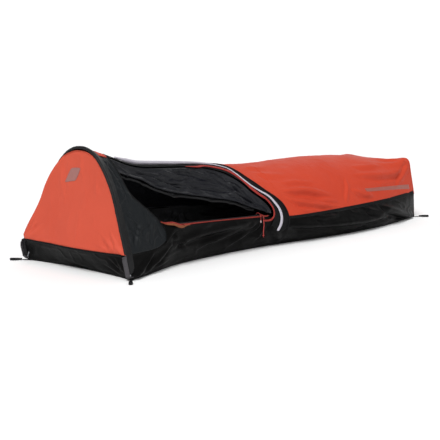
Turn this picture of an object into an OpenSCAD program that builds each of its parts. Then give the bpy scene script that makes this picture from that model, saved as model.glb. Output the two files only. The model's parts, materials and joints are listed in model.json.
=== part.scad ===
// Single-hoop bivy sack, pitched and partly unzipped.
// Frame: +X towards the foot, -Y towards the door side, +Z up.
// The origin is the centre of the footprint, on the ground.

/* [Body] */
// Length of the tub floor from the head edge to the foot edge
floor_len = 2110; // [2080:10:2140]
// Thickness of the shell fabric as modelled
fabric_t = 1.2; // [1:0.1:1.5]
// Thickness of the coated floor fabric as modelled
floor_t = 1.4; // [1.2:0.1:1.6]

/* [Hoop] */
// Height of the hoop's centre line at its top
hoop_h = 500; // [496:1:504]
// Lean of the hoop towards the foot, in degrees
hoop_lean = 4; // [3.5:0.1:4.5]
// Outer diameter of the pole
pole_d = 8.5; // [8:0.1:9]
// Wall thickness of the pole
pole_wall = 0.55; // [0.5:0.05:0.7]
// Outer radius of the pole sleeve
sleeve_r = 10; // [9.5:0.1:10.5]

/* [Zips] */
// Radius of a zip's closed coil
coil_r = 1.6; // [1.4:0.1:1.8]
// Head end of the straight zip run, along X from the head edge
zip_x0 = 372; // [368:1:380]
// Foot end of the straight zip run, along X from the head edge
zip_x1 = 900; // [890:1:905]
// Where the main slider stands, along X from the head edge
slider_x = 856; // [850:1:860]
// Where the mesh slider stands, along X from the head edge
mesh_slider_x = 834; // [828:1:838]

/* [Trim] */
// Length of a stake loop
loop_len = 52; // [48:1:56]
// Width of the stake loops' webbing
loop_w = 9; // [8:0.5:9]
// Width of a sleeping pad strap
strap_w = 25; // [20:1:30]

/* [Hidden] */

L = floor_len;
ORANGE = [0.83, 0.34, 0.24];
BLACK = [0.13, 0.13, 0.14];
GREY = [0.32, 0.32, 0.33];
RED = [0.66, 0.16, 0.13];

// Corners of the footprint where the stake loops are sewn
HEAD_C = [6, 316];
FOOT_C = [L - 4, 234];
OX = (HEAD_C[0] + FOOT_C[0]) / 2;

// Stations along the sack: [distance from the head edge, value]
FLOOR_Y = [[0, 318], [60, 302], [120, 288], [220, 256], [340, 224], [500, 208], [700, 205], [850, 209], [1000, 225], [1200, 256], [1400, 283], [1600, 292], [1800, 284], [1950, 262], [2110, 236]];
SEAM_Y = [[0, 292], [120, 284], [240, 270], [340, 262], [600, 262], [860, 264], [1000, 278], [1200, 291], [1500, 295], [1750, 290], [1950, 268], [2110, 240]];
SEAM_Z = [[0, 98], [180, 101], [240, 122], [290, 163], [340, 172], [860, 146], [1000, 129], [1200, 124], [1600, 124], [2110, 124]];
BULGE = [[0, 0], [300, 10], [600, 6], [900, 16], [1100, 26], [1500, 30], [1800, 24], [2000, 10], [2110, 0]];
RIDGE = [[0, 498], [80, 474], [160, 446], [240, 420], [300, 407], [360, 401], [480, 393], [670, 381], [860, 362], [1000, 351], [1160, 347], [1300, 349], [1500, 347], [1700, 341], [1900, 335], [2110, 326]];
P1Y = [[0, 208], [300, 232], [600, 248], [1000, 252], [1300, 256], [1600, 256], [1850, 242], [2110, 216]];
P1Z = [[0, 290], [300, 270], [600, 240], [1000, 222], [1300, 232], [1600, 252], [1850, 290], [2110, 345]];
P2Y = [[0, 148], [300, 124], [600, 120], [1000, 140], [1300, 158], [1600, 176], [1850, 200], [2110, 215]];
SAG = [[0, 0], [300, 0], [1000, 0], [1600, 0], [1850, 10], [2110, 34]];

// Lines drawn on the cover: [distance from the head edge, place across], where the place
// is -1 at the door-side seam, 0 at the ridge and 1 at the far seam
LINE_BIND = [[110, 0.03], [200, 0.02], [280, 0.02], [390, 0.02], [500, 0.02], [600, 0.02], [700, 0.01], [790, -0.02], [860, -0.05], [908, -0.12], [924, -0.27], [946, -0.43], [967, -0.58], [994, -0.73], [1011, -0.85], [1021, -0.96], [1019, -1.04], [1003, -1.12], [970, -1.18], [925, -1.19]];
LINE_PIPE = [[110, -0.03], [190, -0.05], [280, -0.04], [390, -0.05], [490, -0.07], [570, -0.08], [670, -0.08], [760, -0.08], [845, -0.12], [882, -0.25], [905, -0.41], [935, -0.55], [962, -0.70], [980, -0.82], [985, -0.92], [984, -1.00], [975, -1.07], [957, -1.12], [932, -1.15], [912, -1.15]];
LINE_RED = [[110, -0.10], [190, -0.12], [280, -0.12], [390, -0.13], [490, -0.14], [570, -0.14], [670, -0.14], [750, -0.165], [805, -0.24], [846, -0.39], [868, -0.53], [905, -0.64], [934, -0.74], [944, -0.84], [944, -0.93], [932, -1.01], [922, -1.06], [914, -1.09], [908, -1.11], [900, -1.13]];
LINE_DARK = [[110, -0.16], [190, -0.18], [280, -0.17], [390, -0.17], [490, -0.17], [570, -0.17], [670, -0.20], [745, -0.27], [792, -0.37], [828, -0.50], [846, -0.60], [882, -0.70], [908, -0.79], [920, -0.87], [918, -0.93]];
// Lower fold of the turned-back flap, as points in space from the head edge
LINE_FOLD = [[128, -112, 404], [200, -108, 380], [266, -112, 358], [325, -140, 326], [400, -150, 300], [470, -152, 284], [560, -156, 268], [640, -182, 252], [700, -196, 240], [750, -212, 225], [790, -224, 208], [822, -234, 194], [850, -244, 182], [876, -252, 172], [896, -256, 164]];
// Foot-side edge of the door-side gusset: [place across, distance from the head edge]
GUSSET_EDGE = [[-1, 262], [-0.9, 244], [-0.8, 219], [-0.76, 204], [-0.7, 175], [-0.65, 145], [-0.58, 108], [-0.49, 93], [-0.39, 90], [-0.25, 92], [-0.1, 96]];
// Head-side limit of the cover behind the flap's binding: [place across, distance]
COVER_EDGE = [[-1, 1026], [-0.96, 1022], [-0.85, 1012], [-0.73, 996], [-0.58, 970], [-0.43, 949], [-0.27, 928], [-0.12, 912], [-0.06, 868], [-0.03, 800], [0, 560], [0.04, 453], [0.05, 452], [0.07, 452], [1, 452]];

// Smooth value of a station table at x
function slope(t, i) = let (a = max(i - 1, 0), b = min(i + 1, len(t) - 1)) (t[b][1] - t[a][1]) / (t[b][0] - t[a][0]);
function seg(t, x, i = 0) = i >= len(t) - 2 || x < t[i + 1][0] ? i : seg(t, x, i + 1);
function spl(t, xx) = let (x = min(max(xx, t[0][0]), t[len(t) - 1][0]), i = seg(t, x), h = t[i + 1][0] - t[i][0], u = (x - t[i][0]) / h)
  t[i][1] * (1 + 2 * u) * (1 - u) * (1 - u) + h * slope(t, i) * u * (1 - u) * (1 - u)
  + t[i + 1][1] * u * u * (3 - 2 * u) + h * slope(t, i + 1) * u * u * (u - 1);

// A point of the shell: the head end leans with the hoop, the foot end leans back
function warp(s, y, z) = let (a = tan(hoop_lean) * z, b = L - 0.13 * z) [a + s / L * (b - a) - OX, y, z];

// Cover surface between the two side seams
function cov(s, v) = let (t = 1 - abs(v), q = 1 - t, zr = spl(RIDGE, s))
  warp(s,
    sign(v) * (spl(SEAM_Y, s) * pow(q, 3) + 3 * spl(P1Y, s) * t * q * q + 3 * spl(P2Y, s) * t * t * q),
    spl(SEAM_Z, s) * pow(q, 3) + 3 * spl(P1Z, s) * t * q * q + 3 * zr * t * t * q + zr * pow(t, 3) - spl(SAG, s) * pow(1 - v * v, 2));
// Tub side wall, w = 0 at the floor and 1 at the seam
function tub(s, w, side) = warp(s, side * (spl(FLOOR_Y, s) * (1 - w) + spl(SEAM_Y, s) * w + spl(BULGE, s) * 4 * w * (1 - w)), 2.2 + (spl(SEAM_Z, s) - 2.2) * w);
// The cover surface, carried on down the tub wall past the seam
function skin(s, v) = v >= -1 ? cov(s, v) : tub(s, 1 + (v + 1) * 3, -1);
function unit(a) = a / max(norm(a), 1e-9);
function skin_n(s, v) = unit(cross(skin(s + 4, v) - skin(s - 4, v), skin(s, min(v + 0.02, 1)) - skin(s, v - 0.02)));

// Catmull-Rom refinement of a list of points, k steps a span
function crp(p, i, u) = let (a = p[max(i - 1, 0)], b = p[i], c = p[i + 1], d = p[min(i + 2, len(p) - 1)])
  0.5 * (2 * b + (c - a) * u + (2 * a - 5 * b + 4 * c - d) * u * u + (3 * b - a - 3 * c + d) * u * u * u);
function fine(p, k) = [for (i = [0 : len(p) - 2]) for (j = [0 : k - 1]) crp(p, i, j / k), p[len(p) - 1]];

// A closed thin sheet over a grid of points, between lo and hi along its normal
function gn(g, i, j) = let (m = len(g) - 1, n = len(g[0]) - 1)
  unit(cross(g[min(i + 1, m)][j] - g[max(i - 1, 0)][j], g[i][min(j + 1, n)] - g[i][max(j - 1, 0)]));
module sheet(g, lo, hi) {
  m = len(g); n = len(g[0]); k = m * n;
  top = [for (i = [0 : m - 1]) for (j = [0 : n - 1]) g[i][j] + gn(g, i, j) * hi];
  bot = [for (i = [0 : m - 1]) for (j = [0 : n - 1]) g[i][j] + gn(g, i, j) * lo];
  f = [
    for (i = [0 : m - 2]) for (j = [0 : n - 2]) let (a = i * n + j, b = a + 1, c = a + n, d = c + 1)
      each [[a, b, d], [a, d, c], [k + a, k + d, k + b], [k + a, k + c, k + d]],
    for (j = [0 : n - 2]) let (a = j, b = j + 1) each [[a, k + a, k + b], [a, k + b, b]],
    for (j = [0 : n - 2]) let (a = (m - 1) * n + j, b = a + 1) each [[a, b, k + b], [a, k + b, k + a]],
    for (i = [0 : m - 2]) let (a = i * n, c = a + n) each [[a, c, k + c], [a, k + c, k + a]],
    for (i = [0 : m - 2]) let (a = i * n + n - 1, c = a + n) each [[a, k + a, k + c], [a, k + c, c]]
  ];
  polyhedron(points = concat(top, bot), faces = f, convexity = 6);
}
// A band between two lines of points, n steps across
function band(a, b, n) = [for (i = [0 : len(a) - 1]) [for (j = [0 : n]) a[i] + (b[i] - a[i]) * j / n]];
// A band that follows the skin between two [s, v] lines
function skin_band(a, b, n, k) = let (fa = fine(a, k), fb = fine(b, k)) [for (i = [0 : len(fa) - 1]) [for (j = [0 : n]) let (p = fa[i] + (fb[i] - fa[i]) * j / n) skin(p[0], p[1])]];
// A band of a given half width about one [s, v] line
function path_band(l, hw, k) = let (f = fine(l, k), p = [for (q = f) skin(q[0], q[1])])
  [for (i = [0 : len(p) - 1]) let (t = unit(p[min(i + 1, len(p) - 1)] - p[max(i - 1, 0)]), b = unit(cross(skin_n(f[i][0], f[i][1]), t)) * hw) [p[i] - b, p[i], p[i] + b]];
function steps(a, b, n) = [for (i = [0 : n]) a + (b - a) * i / n];

// A round tube swept along points, for the pull cords
module tube(p, r, n = 8) {
  m = len(p);
  ring = [for (i = [0 : m - 1]) let (t = unit(p[min(i + 1, m - 1)] - p[max(i - 1, 0)]), x = unit(cross(t, [1, 0.01, 0.02])), y = cross(t, x))
    each [for (j = [0 : n - 1]) p[i] + r * (cos(360 * j / n) * x + sin(360 * j / n) * y)]];
  polyhedron(points = ring, faces = [
    [for (j = [0 : n - 1]) j],
    [for (j = [n - 1 : -1 : 0]) (m - 1) * n + j],
    for (i = [0 : m - 2]) for (j = [0 : n - 1]) let (a = i * n + j, b = i * n + (j + 1) % n) each [[a, a + n, b + n], [a, b + n, b]]
  ]);
}

// ---- hoop: a small top arc, two wide arcs and two straight legs, in one plane ----
R1 = 150; A1 = 45; R2 = 480; A2 = 69.5;
C1 = [0, hoop_h - R1];
C2 = [-(R2 - R1) * sin(A1), C1[1] - (R2 - R1) * cos(A1)];
E2 = [C2[0] + R2 * sin(A2), C2[1] + R2 * cos(A2)];
AJ = 55.6;                       // where the leg sections start
LEG_END = 18;                    // height of the pole's lower end
function leg_run(h) = (E2[1] - h) / sin(A2);
// Turns the plane of the hoop, drawn in X and Y, up and over to its lean
module hoop_plane() translate([-OX, 0, 0]) rotate([0, hoop_lean, 0]) rotate([90, 0, 90]) children();
module arc(c, r, a0, a1) translate([c[0], c[1], 0]) rotate([0, 0, 90 - a1]) rotate_extrude(angle = a1 - a0, $fn = 96) translate([r, 0]) children();
module leg(from_h, to_h) translate([E2[0], E2[1], 0]) rotate([0, 0, 90 - A2]) translate([0, -leg_run(to_h), 0]) rotate([-90, 0, 0]) linear_extrude(leg_run(to_h) - leg_run(from_h)) children();
module ring2(ro, ri) difference() { circle(r = ro, $fn = 48); circle(r = ri, $fn = 48); }
module both() { children(); mirror([1, 0, 0]) children(); }
// Point of the hoop's centre line, moved in by d; a = 0 at the top, in degrees of turn on the arcs
function hoop_at(a, d) = let (s = sign(a), b = abs(a)) b <= A1 ? [s * (R1 - d) * sin(b), C1[1] + (R1 - d) * cos(b)]
  : b <= A2 ? [s * (C2[0] + (R2 - d) * sin(b)), C2[1] + (R2 - d) * cos(b)]
  : let (u = (b - A2) / (90 - A2) * leg_run(98)) [s * (E2[0] - d * sin(A2) + u * cos(A2)), E2[1] - d * cos(A2) - u * sin(A2)];
function hoop3(a, d, x) = let (p = hoop_at(a, d)) [x * cos(hoop_lean) + p[1] * sin(hoop_lean) - OX, p[0], p[1] * cos(hoop_lean) - x * sin(hoop_lean)];

// Head wall: a = -1 at the door side, 1 at the far side
function head_floor(a) = [10 + 30 * (1 - a * a) - OX, a * 300, 2.2];
function head_seam_p(a) = [2 - 34 * (1 - a * a) - OX, a * 278, 97];

// Straight zip lines along the top of the door-side wall
function zip_z(x) = 172 - 0.05 * (x - 340);
ZIP_A = atan(0.05);
module zip_frame(x, y) translate([x - OX, y, zip_z(x)]) rotate([0, ZIP_A, 0]) children();
OUT_Y = -262;
IN_Y = -245;

module floor_sheet() color(BLACK) linear_extrude(floor_t) polygon(concat(
  [for (s = [20 : 65 : L - 10]) [s - OX, -spl(FLOOR_Y, s) + 2]], [[L - 4 - OX, -234]],
  [[L - 4 - OX, 234]], [for (s = [L - 25 : -65 : 20]) [s - OX, spl(FLOOR_Y, s) - 2]],
  [for (a = [0.98 : -0.14 : -1]) [12 + 30 * (1 - a * a) - OX, a * 305]]));

// The door-side wall, in three runs end to end, so that each stays close to straight
module tub_wall_near() color(BLACK) for (r = [[282, 619.8, 6], [620, 899.8, 5], [900, L - 12, 20]]) sheet([for (s = steps(r[0], r[1], r[2])) [for (w = steps(0, 0.99, 5)) tub(s, w, -1)]], 0, fabric_t);
module tub_wall_far() color(BLACK) sheet([for (s = steps(282, L - 12, 30)) [for (w = steps(0.985, 0, 5)) tub(s, w, 1)]], 0, fabric_t);
module tub_corner_near() color(BLACK) sheet([for (s = steps(24, 278, 7)) [for (w = steps(0, 0.985, 4)) tub(s, w, -1)]], 0, fabric_t);
module tub_corner_far() color(BLACK) sheet([for (s = steps(24, 278, 7)) [for (w = steps(0.985, 0, 4)) tub(s, w, 1)]], 0, fabric_t);
module tub_wall_head() color(BLACK) sheet([for (a = steps(-0.97, 0.97, 12)) [for (b = steps(0, 0.975, 3)) head_floor(a) * (1 - b) + head_seam_p(a) * b]], -fabric_t, 0);
module tub_wall_foot() color(BLACK) sheet([for (a = steps(-0.97, 0.97, 8)) [for (b = steps(0, 0.985, 3)) warp(L, a * (234 + 6 * b), 2.2 + b * 121.8)]], 0, fabric_t);
module foot_panel() color(ORANGE) sheet([for (v = steps(-0.94, 0.94, 22)) [for (b = steps(0.01, 0.99, 4)) let (t = cov(L, v)) warp(L - 2, v * 240 * (1 - b) + t[1] * 0.985 * b, 125 * (1 - b) + (t[2] - 3) * b)]], 0, fabric_t);
module head_panel() color(ORANGE) sheet([for (i = [0 : 24]) let (a = -1 + i / 12) [for (b = steps(0.012, 1, 6)) head_seam_p(a * 0.955) * (1 - b) + hoop3(a * 88.5, 12.5, -1) * b]], -fabric_t, 0);

function vlist() = [-0.985, -0.94, -0.85, -0.73, -0.58, -0.43, -0.27, -0.12, -0.06, -0.03, 0, 0.04, 0.15, 0.3, 0.45, 0.6, 0.75, 0.88, 0.985];
module cover_body() color(ORANGE) sheet([for (q = steps(0, 1, 24)) [for (v = vlist()) let (s0 = spl(COVER_EDGE, v)) cov(s0 + (L - 3 - s0) * q, v)]], 0, fabric_t);
// Door-side limit of the cover's head end: it wraps over the ridge beside the hoop
HEAD_EDGE = [[0, -0.095], [85, -0.095], [105, -0.06], [135, 0.05], [450, 0.05]];
module cover_head() color(ORANGE) sheet([for (s = [22, 55, 85, 98, 110, 122, 140, 190, 240, 290, 340, 395, 446]) let (v0 = spl(HEAD_EDGE, s)) [for (q = steps(0, 1, 9)) cov(s, v0 + (0.985 - v0) * q)]], 0, fabric_t);
module gusset_near() color(BLACK) sheet([for (q = steps(0, 1, 7)) [for (v = steps(-0.985, -0.11, 14)) let (s1 = spl(GUSSET_EDGE, v)) cov(18 + (s1 - 18) * q, v)]], 0, fabric_t);
// The far gusset lies under the cover's head end, as its lining
module gusset_far() color(BLACK) sheet([for (q = steps(0, 1, 5)) [for (v = steps(0.08, 0.97, 10)) let (s1 = spl(GUSSET_EDGE, -v)) cov(24 + (s1 - 24) * q, v)]], -3.4, -3.4 + fabric_t);

// Turned-back flap: lining out from the zip edge down to the fold, and back up inside
function fold(i, n, k) = fine(LINE_FOLD, k)[i] - [OX, 0, 0];
function flap_rows(k) = let (d = fine(LINE_DARK, k), f = fine(LINE_FOLD, k)) [for (i = [0 : len(d) - 1]) let (p = skin(d[i][0], d[i][1]), n = skin_n(d[i][0], d[i][1])) [p - n * 2, f[i] - [OX, 0, 0]]];
// Outward side of the flap; at the zip end it is gathered flat against the wall
function leaf_n(r) = r[0][0] + OX > 906 ? unit([0, -1, 0.05]) : unit(cross([1, 0, 0], r[0] - r[1]));
function leaf(r, b) = r[0] * (1 - b) + r[1] * b - leaf_n(r) * 10 * sin(180 * b);
module cover_flap() color([0.16, 0.16, 0.18]) sheet([for (r = flap_rows(2)) let (n = leaf_n(r), u = unit(r[0] - r[1]))
  [for (b = [0.92, 0.75, 0.5, 0.25, 0.06]) each [leaf(r, 1 - b) - n * 7] , r[1] - n * 6.2 - u * 1.6, r[1] - n * 3.5 - u * 3, r[1] - n * 0.8 - u * 1.6, for (b = [0.94, 0.75, 0.5, 0.25, 0.02]) leaf(r, b)]], 0, fabric_t);
module mesh_door() color([0.2, 0.2, 0.22]) sheet([for (i = [0 : 24]) let (r = flap_rows(2)[i], n = leaf_n(r), u = unit(r[0] - r[1])) [for (b = steps(0.02, 1, 5)) leaf(r, b) - n * 15 - u * 12 * b]], 0, 0.8);
module mesh_door_hem() color(GREY) sheet([for (i = [0 : 24]) let (r = flap_rows(2)[i], n = leaf_n(r), u = unit(r[0] - r[1])) [for (b = [13, 22]) r[1] - n * 15 - u * b]], 0, 1.2);

module storm_flap() color(BLACK) sheet(skin_band(LINE_RED, LINE_BIND, 4, 2), 2.6, 3.8);
module storm_piping() color([0.72, 0.71, 0.74]) sheet(path_band(LINE_PIPE, 4.5, 2), 4.4, 6.4);
module flap_binding() color(BLACK) sheet(path_band([for (i = [0 : 17]) LINE_BIND[i]], 4, 2), 4.4, 5.6);
module flap_zip_tape() color(RED) sheet(skin_band([for (i = [0 : 14]) LINE_DARK[i]], [for (i = [0 : 14]) LINE_RED[i]], 2, 2), 1.5, 2.3);

// Zip tape with its coil along the top edge of the door-side wall
module zip_half(x0, x1, y) zip_frame(x1, y) {
  l = (x1 - x0) / cos(ZIP_A);
  translate([-l, 0, 7]) rotate([0, 90, 0]) cylinder(r = coil_r, h = l, $fn = 24);
  translate([-l, -0.4, -6]) cube([l, 0.8, 13]);
}
module outer_zip_tape() color(RED) zip_half(zip_x0, zip_x1, OUT_Y + 2.5);
module mesh_zip_tape() color(GREY) zip_half(zip_x0, zip_x1 - 24, IN_Y);
module zip_end_stop() color(BLACK) zip_frame(zip_x1 + 1.5, OUT_Y + 2.5) translate([0, -2.5, 3.5]) cube([7, 5, 7]);

module pole_sleeve() color(BLACK) hoop_plane() {
  arc(C1, R1, -A1, A1) ring2(sleeve_r, sleeve_r - 2);
  both() { arc(C2, R2, A1, A2) ring2(sleeve_r, sleeve_r - 2); leg(E2[1], 22) ring2(sleeve_r, sleeve_r - 2); }
}
pr = pole_d / 2; pi_r = pr - pole_wall;
module pole_center() color("silver") hoop_plane() {
  arc(C1, R1, -A1, A1) ring2(pr, pi_r);
  both() arc(C2, R2, A1, AJ - 0.03) ring2(pr, pi_r);
}
module leg_section() hoop_plane() { arc(C2, R2, AJ + 0.03, A2) ring2(pr, pi_r); leg(E2[1], LEG_END) ring2(pr, pi_r); }
module pole_leg_far() color("silver") leg_section();
module pole_leg_near() color("silver") mirror([0, 1, 0]) leg_section();
module pole_ferrules() color("silver") hoop_plane() both() arc(C2, R2, AJ - 3.6, AJ + 3.6) ring2(pi_r - 0.15, pi_r - 1.1);
module shock_cord() color("white") hoop_plane() {
  arc(C1, R1, -A1, A1) circle(r = 1.2, $fn = 24);
  both() { arc(C2, R2, A1, A2) circle(r = 1.2, $fn = 24); leg(E2[1], LEG_END + 18) circle(r = 1.2, $fn = 24); }
}
module pole_tips() color("black") hoop_plane() both() { leg(LEG_END + 16, LEG_END - 0.3) circle(r = pi_r - 0.15, $fn = 32); leg(LEG_END - 0.3, LEG_END - 4.5) circle(r = pr, $fn = 32); }

module pocket() hoop_plane() translate([E2[0], E2[1], 0]) rotate([0, 0, 90 - A2]) translate([0, -leg_run(10), 0]) {
  translate([-13, 6, -13]) cube([26, 82, 1.6]);
  translate([-13, 1.5, -13]) cube([26, 1.8, 20]);
  translate([-13, 1.5, -13]) cube([26, 6, 1.6]);
}
module pole_pocket_far() color(GREY) pocket();
module pole_pocket_near() color(GREY) mirror([0, 1, 0]) pocket();

// Distance from the corner to the crease that a stake loop swings about
PIVOT = 28;
// Stake loop: webbing on edge, sewn at the corner and open for a stake
module stake_loop(c, dirx, side) color(BLACK) translate([c[0] - OX, side * c[1], 0]) rotate([0, 0, dirx > 0 ? side * 45 : side * 135]) translate([PIVOT, 0, 0]) {
 translate([0, -5, 0.8]) rotate([-90, 0, 0]) cylinder(r = 0.8, h = 10, $fn = 24);
 linear_extrude(loop_w) difference() {
  union() {
    translate([0, -1.8]) square([loop_len - 12, 3.6]);
    translate([loop_len - 32, 0]) circle(r = 8, $fn = 48);
    translate([loop_len - 8, 0]) circle(r = 8, $fn = 48);
    translate([loop_len - 32, -8]) square([24, 16]);
  }
  translate([loop_len - 32, 0]) circle(r = 6, $fn = 48);
  translate([loop_len - 8, 0]) circle(r = 6, $fn = 48);
  translate([loop_len - 32, -6]) square([24, 12]);
 }
}
module stake_loop_head_near() stake_loop(HEAD_C, -1, -1);
module stake_loop_head_far() stake_loop(HEAD_C, -1, 1);
module stake_loop_foot_near() stake_loop(FOOT_C, 1, -1);
module stake_loop_foot_far() stake_loop(FOOT_C, 1, 1);
// The sewn tails that the loops swing from
module stake_loop_tails() color(BLACK) for (c = [HEAD_C, FOOT_C]) for (side = [-1, 1]) translate([c[0] - OX, side * c[1], 0]) rotate([0, 0, c[0] > 1000 ? side * 45 : side * 135]) translate([3, -5, 0]) cube([PIVOT - 5, 10, 1.6]);
module foot_guy_loops() color(BLACK) for (side = [-1, 1]) translate([L - 25.2 - OX, side * 200, 262]) cube([18, 10, 3], center = true);

module pad_strap(s) color(BLACK) translate([s - OX, -(spl(FLOOR_Y, s) - 12), 2]) cube([strap_w, 2 * (spl(FLOOR_Y, s) - 12), 1.2]);
module pad_strap_head() pad_strap(620);
module pad_strap_foot() pad_strap(1350);

module head_patch() color("grey") sheet([for (a = [-0.06, 0.05, 0.16, 0.27]) [for (b = [0.68, 0.73, 0.78, 0.83]) head_seam_p(a * 0.955) * (1 - b) + hoop3(a * 88.5, 12.5, -1) * b]], -3, -2);
module foot_strip() color("grey") sheet([for (q = steps(0, 1, 6)) [for (v = [-0.845, -0.8]) cov(1640 + 420 * q, v - 0.05 * q)]], 1.8, 2.6);
module cover_seam_near() color(BLACK) sheet([for (s = steps(1050, L - 14, 22)) [tub(s, 0.95, -1), cov(s, -1), cov(s, -0.965)]], 2, 3);
module cover_seam_far() color(BLACK) sheet([for (s = steps(300, L - 14, 26)) [cov(s, 0.965), cov(s, 1), tub(s, 0.95, 1)]], 2, 3);
module head_seam() color(BLACK) sheet([for (a = steps(-0.9, 0.9, 14)) [for (b = [0.95, 1]) head_floor(a) * (1 - b) + head_seam_p(a) * b]], -3.4, -2.4);

// Slider: a body split along its length by the channel that the coil and tape run in
module slider(x, y) zip_frame(x, y) difference() {
  union() {
    translate([-7, -4.2, 2.5]) cube([14, 8.4, 9]);
    translate([-3, -8.6, 5.5]) cube([6, 12.8, 4]);
  }
  translate([-20, 0, 7]) rotate([0, 90, 0]) cylinder(r = coil_r + 0.5, h = 40, $fn = 24);
  translate([-20, -0.9, -4]) cube([40, 1.8, 11]);
}
module outer_slider() color(RED) slider(slider_x, OUT_Y + 2.5);
module mesh_slider() color(BLACK) slider(mesh_slider_x, IN_Y);
// Pull tab: hangs outside the wall from the slider's face
PULL = [slider_x - OX, -269.6, 153];
module outer_pull_tab() color(RED) difference() {
  union() {
    translate([PULL[0] - 3.5, PULL[1] - 1, PULL[2] - 15]) cube([7, 2, 15]);
    translate([PULL[0] - 3.5, PULL[1], PULL[2]]) rotate([0, 90, 0]) cylinder(r = 1, h = 7, $fn = 24);
  }
  translate([PULL[0], PULL[1] - 5, PULL[2] - 11]) rotate([-90, 0, 0]) cylinder(r = 2.1, h = 10, $fn = 24);
}
// Pull cord: a doubled cord below the tab, hanging straight with a slight wander
CORD_OUT = [[0, -0.6, -16.5], [-0.4, -1.6, -24], [0.6, -2, -34], [1, -1.6, -44], [0.2, -1.2, -54], [-0.8, -1, -64], [-0.6, -0.6, -74], [0, 0, -82]];
module outer_pull_cord() color(RED) tube([for (p = fine(CORD_OUT, 2)) PULL + p], 1.5);
module outer_pull_knot() color(RED) translate(PULL + [0, 0, -87.2]) sphere(r = 4.6, $fn = 32);
MP = [mesh_slider_x - OX, IN_Y, zip_z(mesh_slider_x)];
CORD_IN = [[0, 0, 13.5], [0, -2, 17.5], [0, -8, 20], [-1, -16, 20], [-2, -24, 16], [-3, -29, 8], [-4, -31, -2], [-5, -32, -10]];
module mesh_pull_cord() color(RED) tube([for (p = fine(CORD_IN, 2)) MP + p], 1.1);
module mesh_pull_end() color("gainsboro") translate(MP + [-5.2, -32.2, -20.5]) cylinder(r1 = 2.6, r2 = 2.2, h = 10, $fn = 24);

floor_sheet();
tub_wall_near();
tub_wall_far();
tub_corner_near();
tub_corner_far();
tub_wall_head();
tub_wall_foot();
foot_panel();
head_panel();
cover_body();
cover_head();
gusset_near();
gusset_far();
cover_flap();
storm_flap();
storm_piping();
flap_binding();
flap_zip_tape();
mesh_door();
mesh_door_hem();
outer_zip_tape();
mesh_zip_tape();
zip_end_stop();
pole_sleeve();
pole_center();
pole_leg_near();
pole_leg_far();
pole_ferrules();
pole_tips();
shock_cord();
pole_pocket_near();
pole_pocket_far();
stake_loop_head_near();
stake_loop_head_far();
stake_loop_foot_near();
stake_loop_foot_far();
stake_loop_tails();
foot_guy_loops();
pad_strap_head();
pad_strap_foot();
head_patch();
foot_strip();
cover_seam_near();
cover_seam_far();
head_seam();
outer_slider();
outer_pull_tab();
outer_pull_cord();
outer_pull_knot();
mesh_slider();
mesh_pull_cord();
mesh_pull_end();
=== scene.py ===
"""The looks of a single-hoop bivy sack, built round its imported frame."""
import json
import math

import bpy
import numpy as np
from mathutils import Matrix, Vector

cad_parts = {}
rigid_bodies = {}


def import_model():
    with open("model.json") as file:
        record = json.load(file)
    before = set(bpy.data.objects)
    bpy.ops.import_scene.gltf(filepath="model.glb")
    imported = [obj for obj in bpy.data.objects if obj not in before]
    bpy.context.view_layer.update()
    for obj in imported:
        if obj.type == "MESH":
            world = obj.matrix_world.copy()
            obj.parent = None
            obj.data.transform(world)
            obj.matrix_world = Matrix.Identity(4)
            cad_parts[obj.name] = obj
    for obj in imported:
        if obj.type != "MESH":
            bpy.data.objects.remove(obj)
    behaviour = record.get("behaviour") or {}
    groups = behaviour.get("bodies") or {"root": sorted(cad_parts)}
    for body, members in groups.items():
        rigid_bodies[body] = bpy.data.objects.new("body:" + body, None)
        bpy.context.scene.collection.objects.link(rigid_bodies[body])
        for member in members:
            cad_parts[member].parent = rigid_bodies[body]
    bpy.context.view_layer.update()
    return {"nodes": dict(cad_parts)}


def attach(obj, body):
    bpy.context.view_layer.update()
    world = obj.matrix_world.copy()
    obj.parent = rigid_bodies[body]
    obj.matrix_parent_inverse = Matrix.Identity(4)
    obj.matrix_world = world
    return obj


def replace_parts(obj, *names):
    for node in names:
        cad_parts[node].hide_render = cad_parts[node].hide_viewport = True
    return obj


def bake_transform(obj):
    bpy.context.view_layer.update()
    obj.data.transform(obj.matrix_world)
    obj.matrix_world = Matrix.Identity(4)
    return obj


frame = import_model()
scene = bpy.context.scene
MM = 0.001

# ---------------------------------------------------------------- camera
cam_data = bpy.data.cameras.new("camera")
cam = bpy.data.objects.new("camera", cam_data)
scene.collection.objects.link(cam)
cam.location = (-4.1999, -3.6696, 0.9773)
cam.rotation_euler = (math.radians(90 - 9.123), 0, math.radians(-47.53))
cam_data.lens = 98.19
cam_data.sensor_width = 36
cam_data.clip_start, cam_data.clip_end = 0.05, 60
scene.camera = cam
scene.view_settings.view_transform = "Standard"

# ---------------------------------------------------------------- shell shape, in millimetres
L, LEAN, OX = 2110.0, math.radians(4), 1056.0
FLOOR_Y = [[0, 318], [60, 302], [120, 288], [220, 256], [340, 224], [500, 208], [700, 205], [850, 209], [1000, 225], [1200, 256], [1400, 283], [1600, 292], [1800, 284], [1950, 262], [2110, 236]]
SEAM_Y = [[0, 292], [120, 284], [240, 270], [340, 262], [600, 262], [860, 264], [1000, 278], [1200, 291], [1500, 295], [1750, 290], [1950, 268], [2110, 240]]
SEAM_Z = [[0, 98], [180, 101], [240, 122], [290, 163], [340, 172], [860, 146], [1000, 129], [1200, 124], [1600, 124], [2110, 124]]
BULGE = [[0, 0], [300, 10], [600, 6], [900, 16], [1100, 26], [1500, 30], [1800, 24], [2000, 10], [2110, 0]]
RIDGE = [[0, 498], [80, 474], [160, 446], [240, 420], [300, 407], [360, 401], [480, 393], [670, 381], [860, 362], [1000, 351], [1160, 347], [1300, 349], [1500, 347], [1700, 341], [1900, 335], [2110, 326]]
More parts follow.
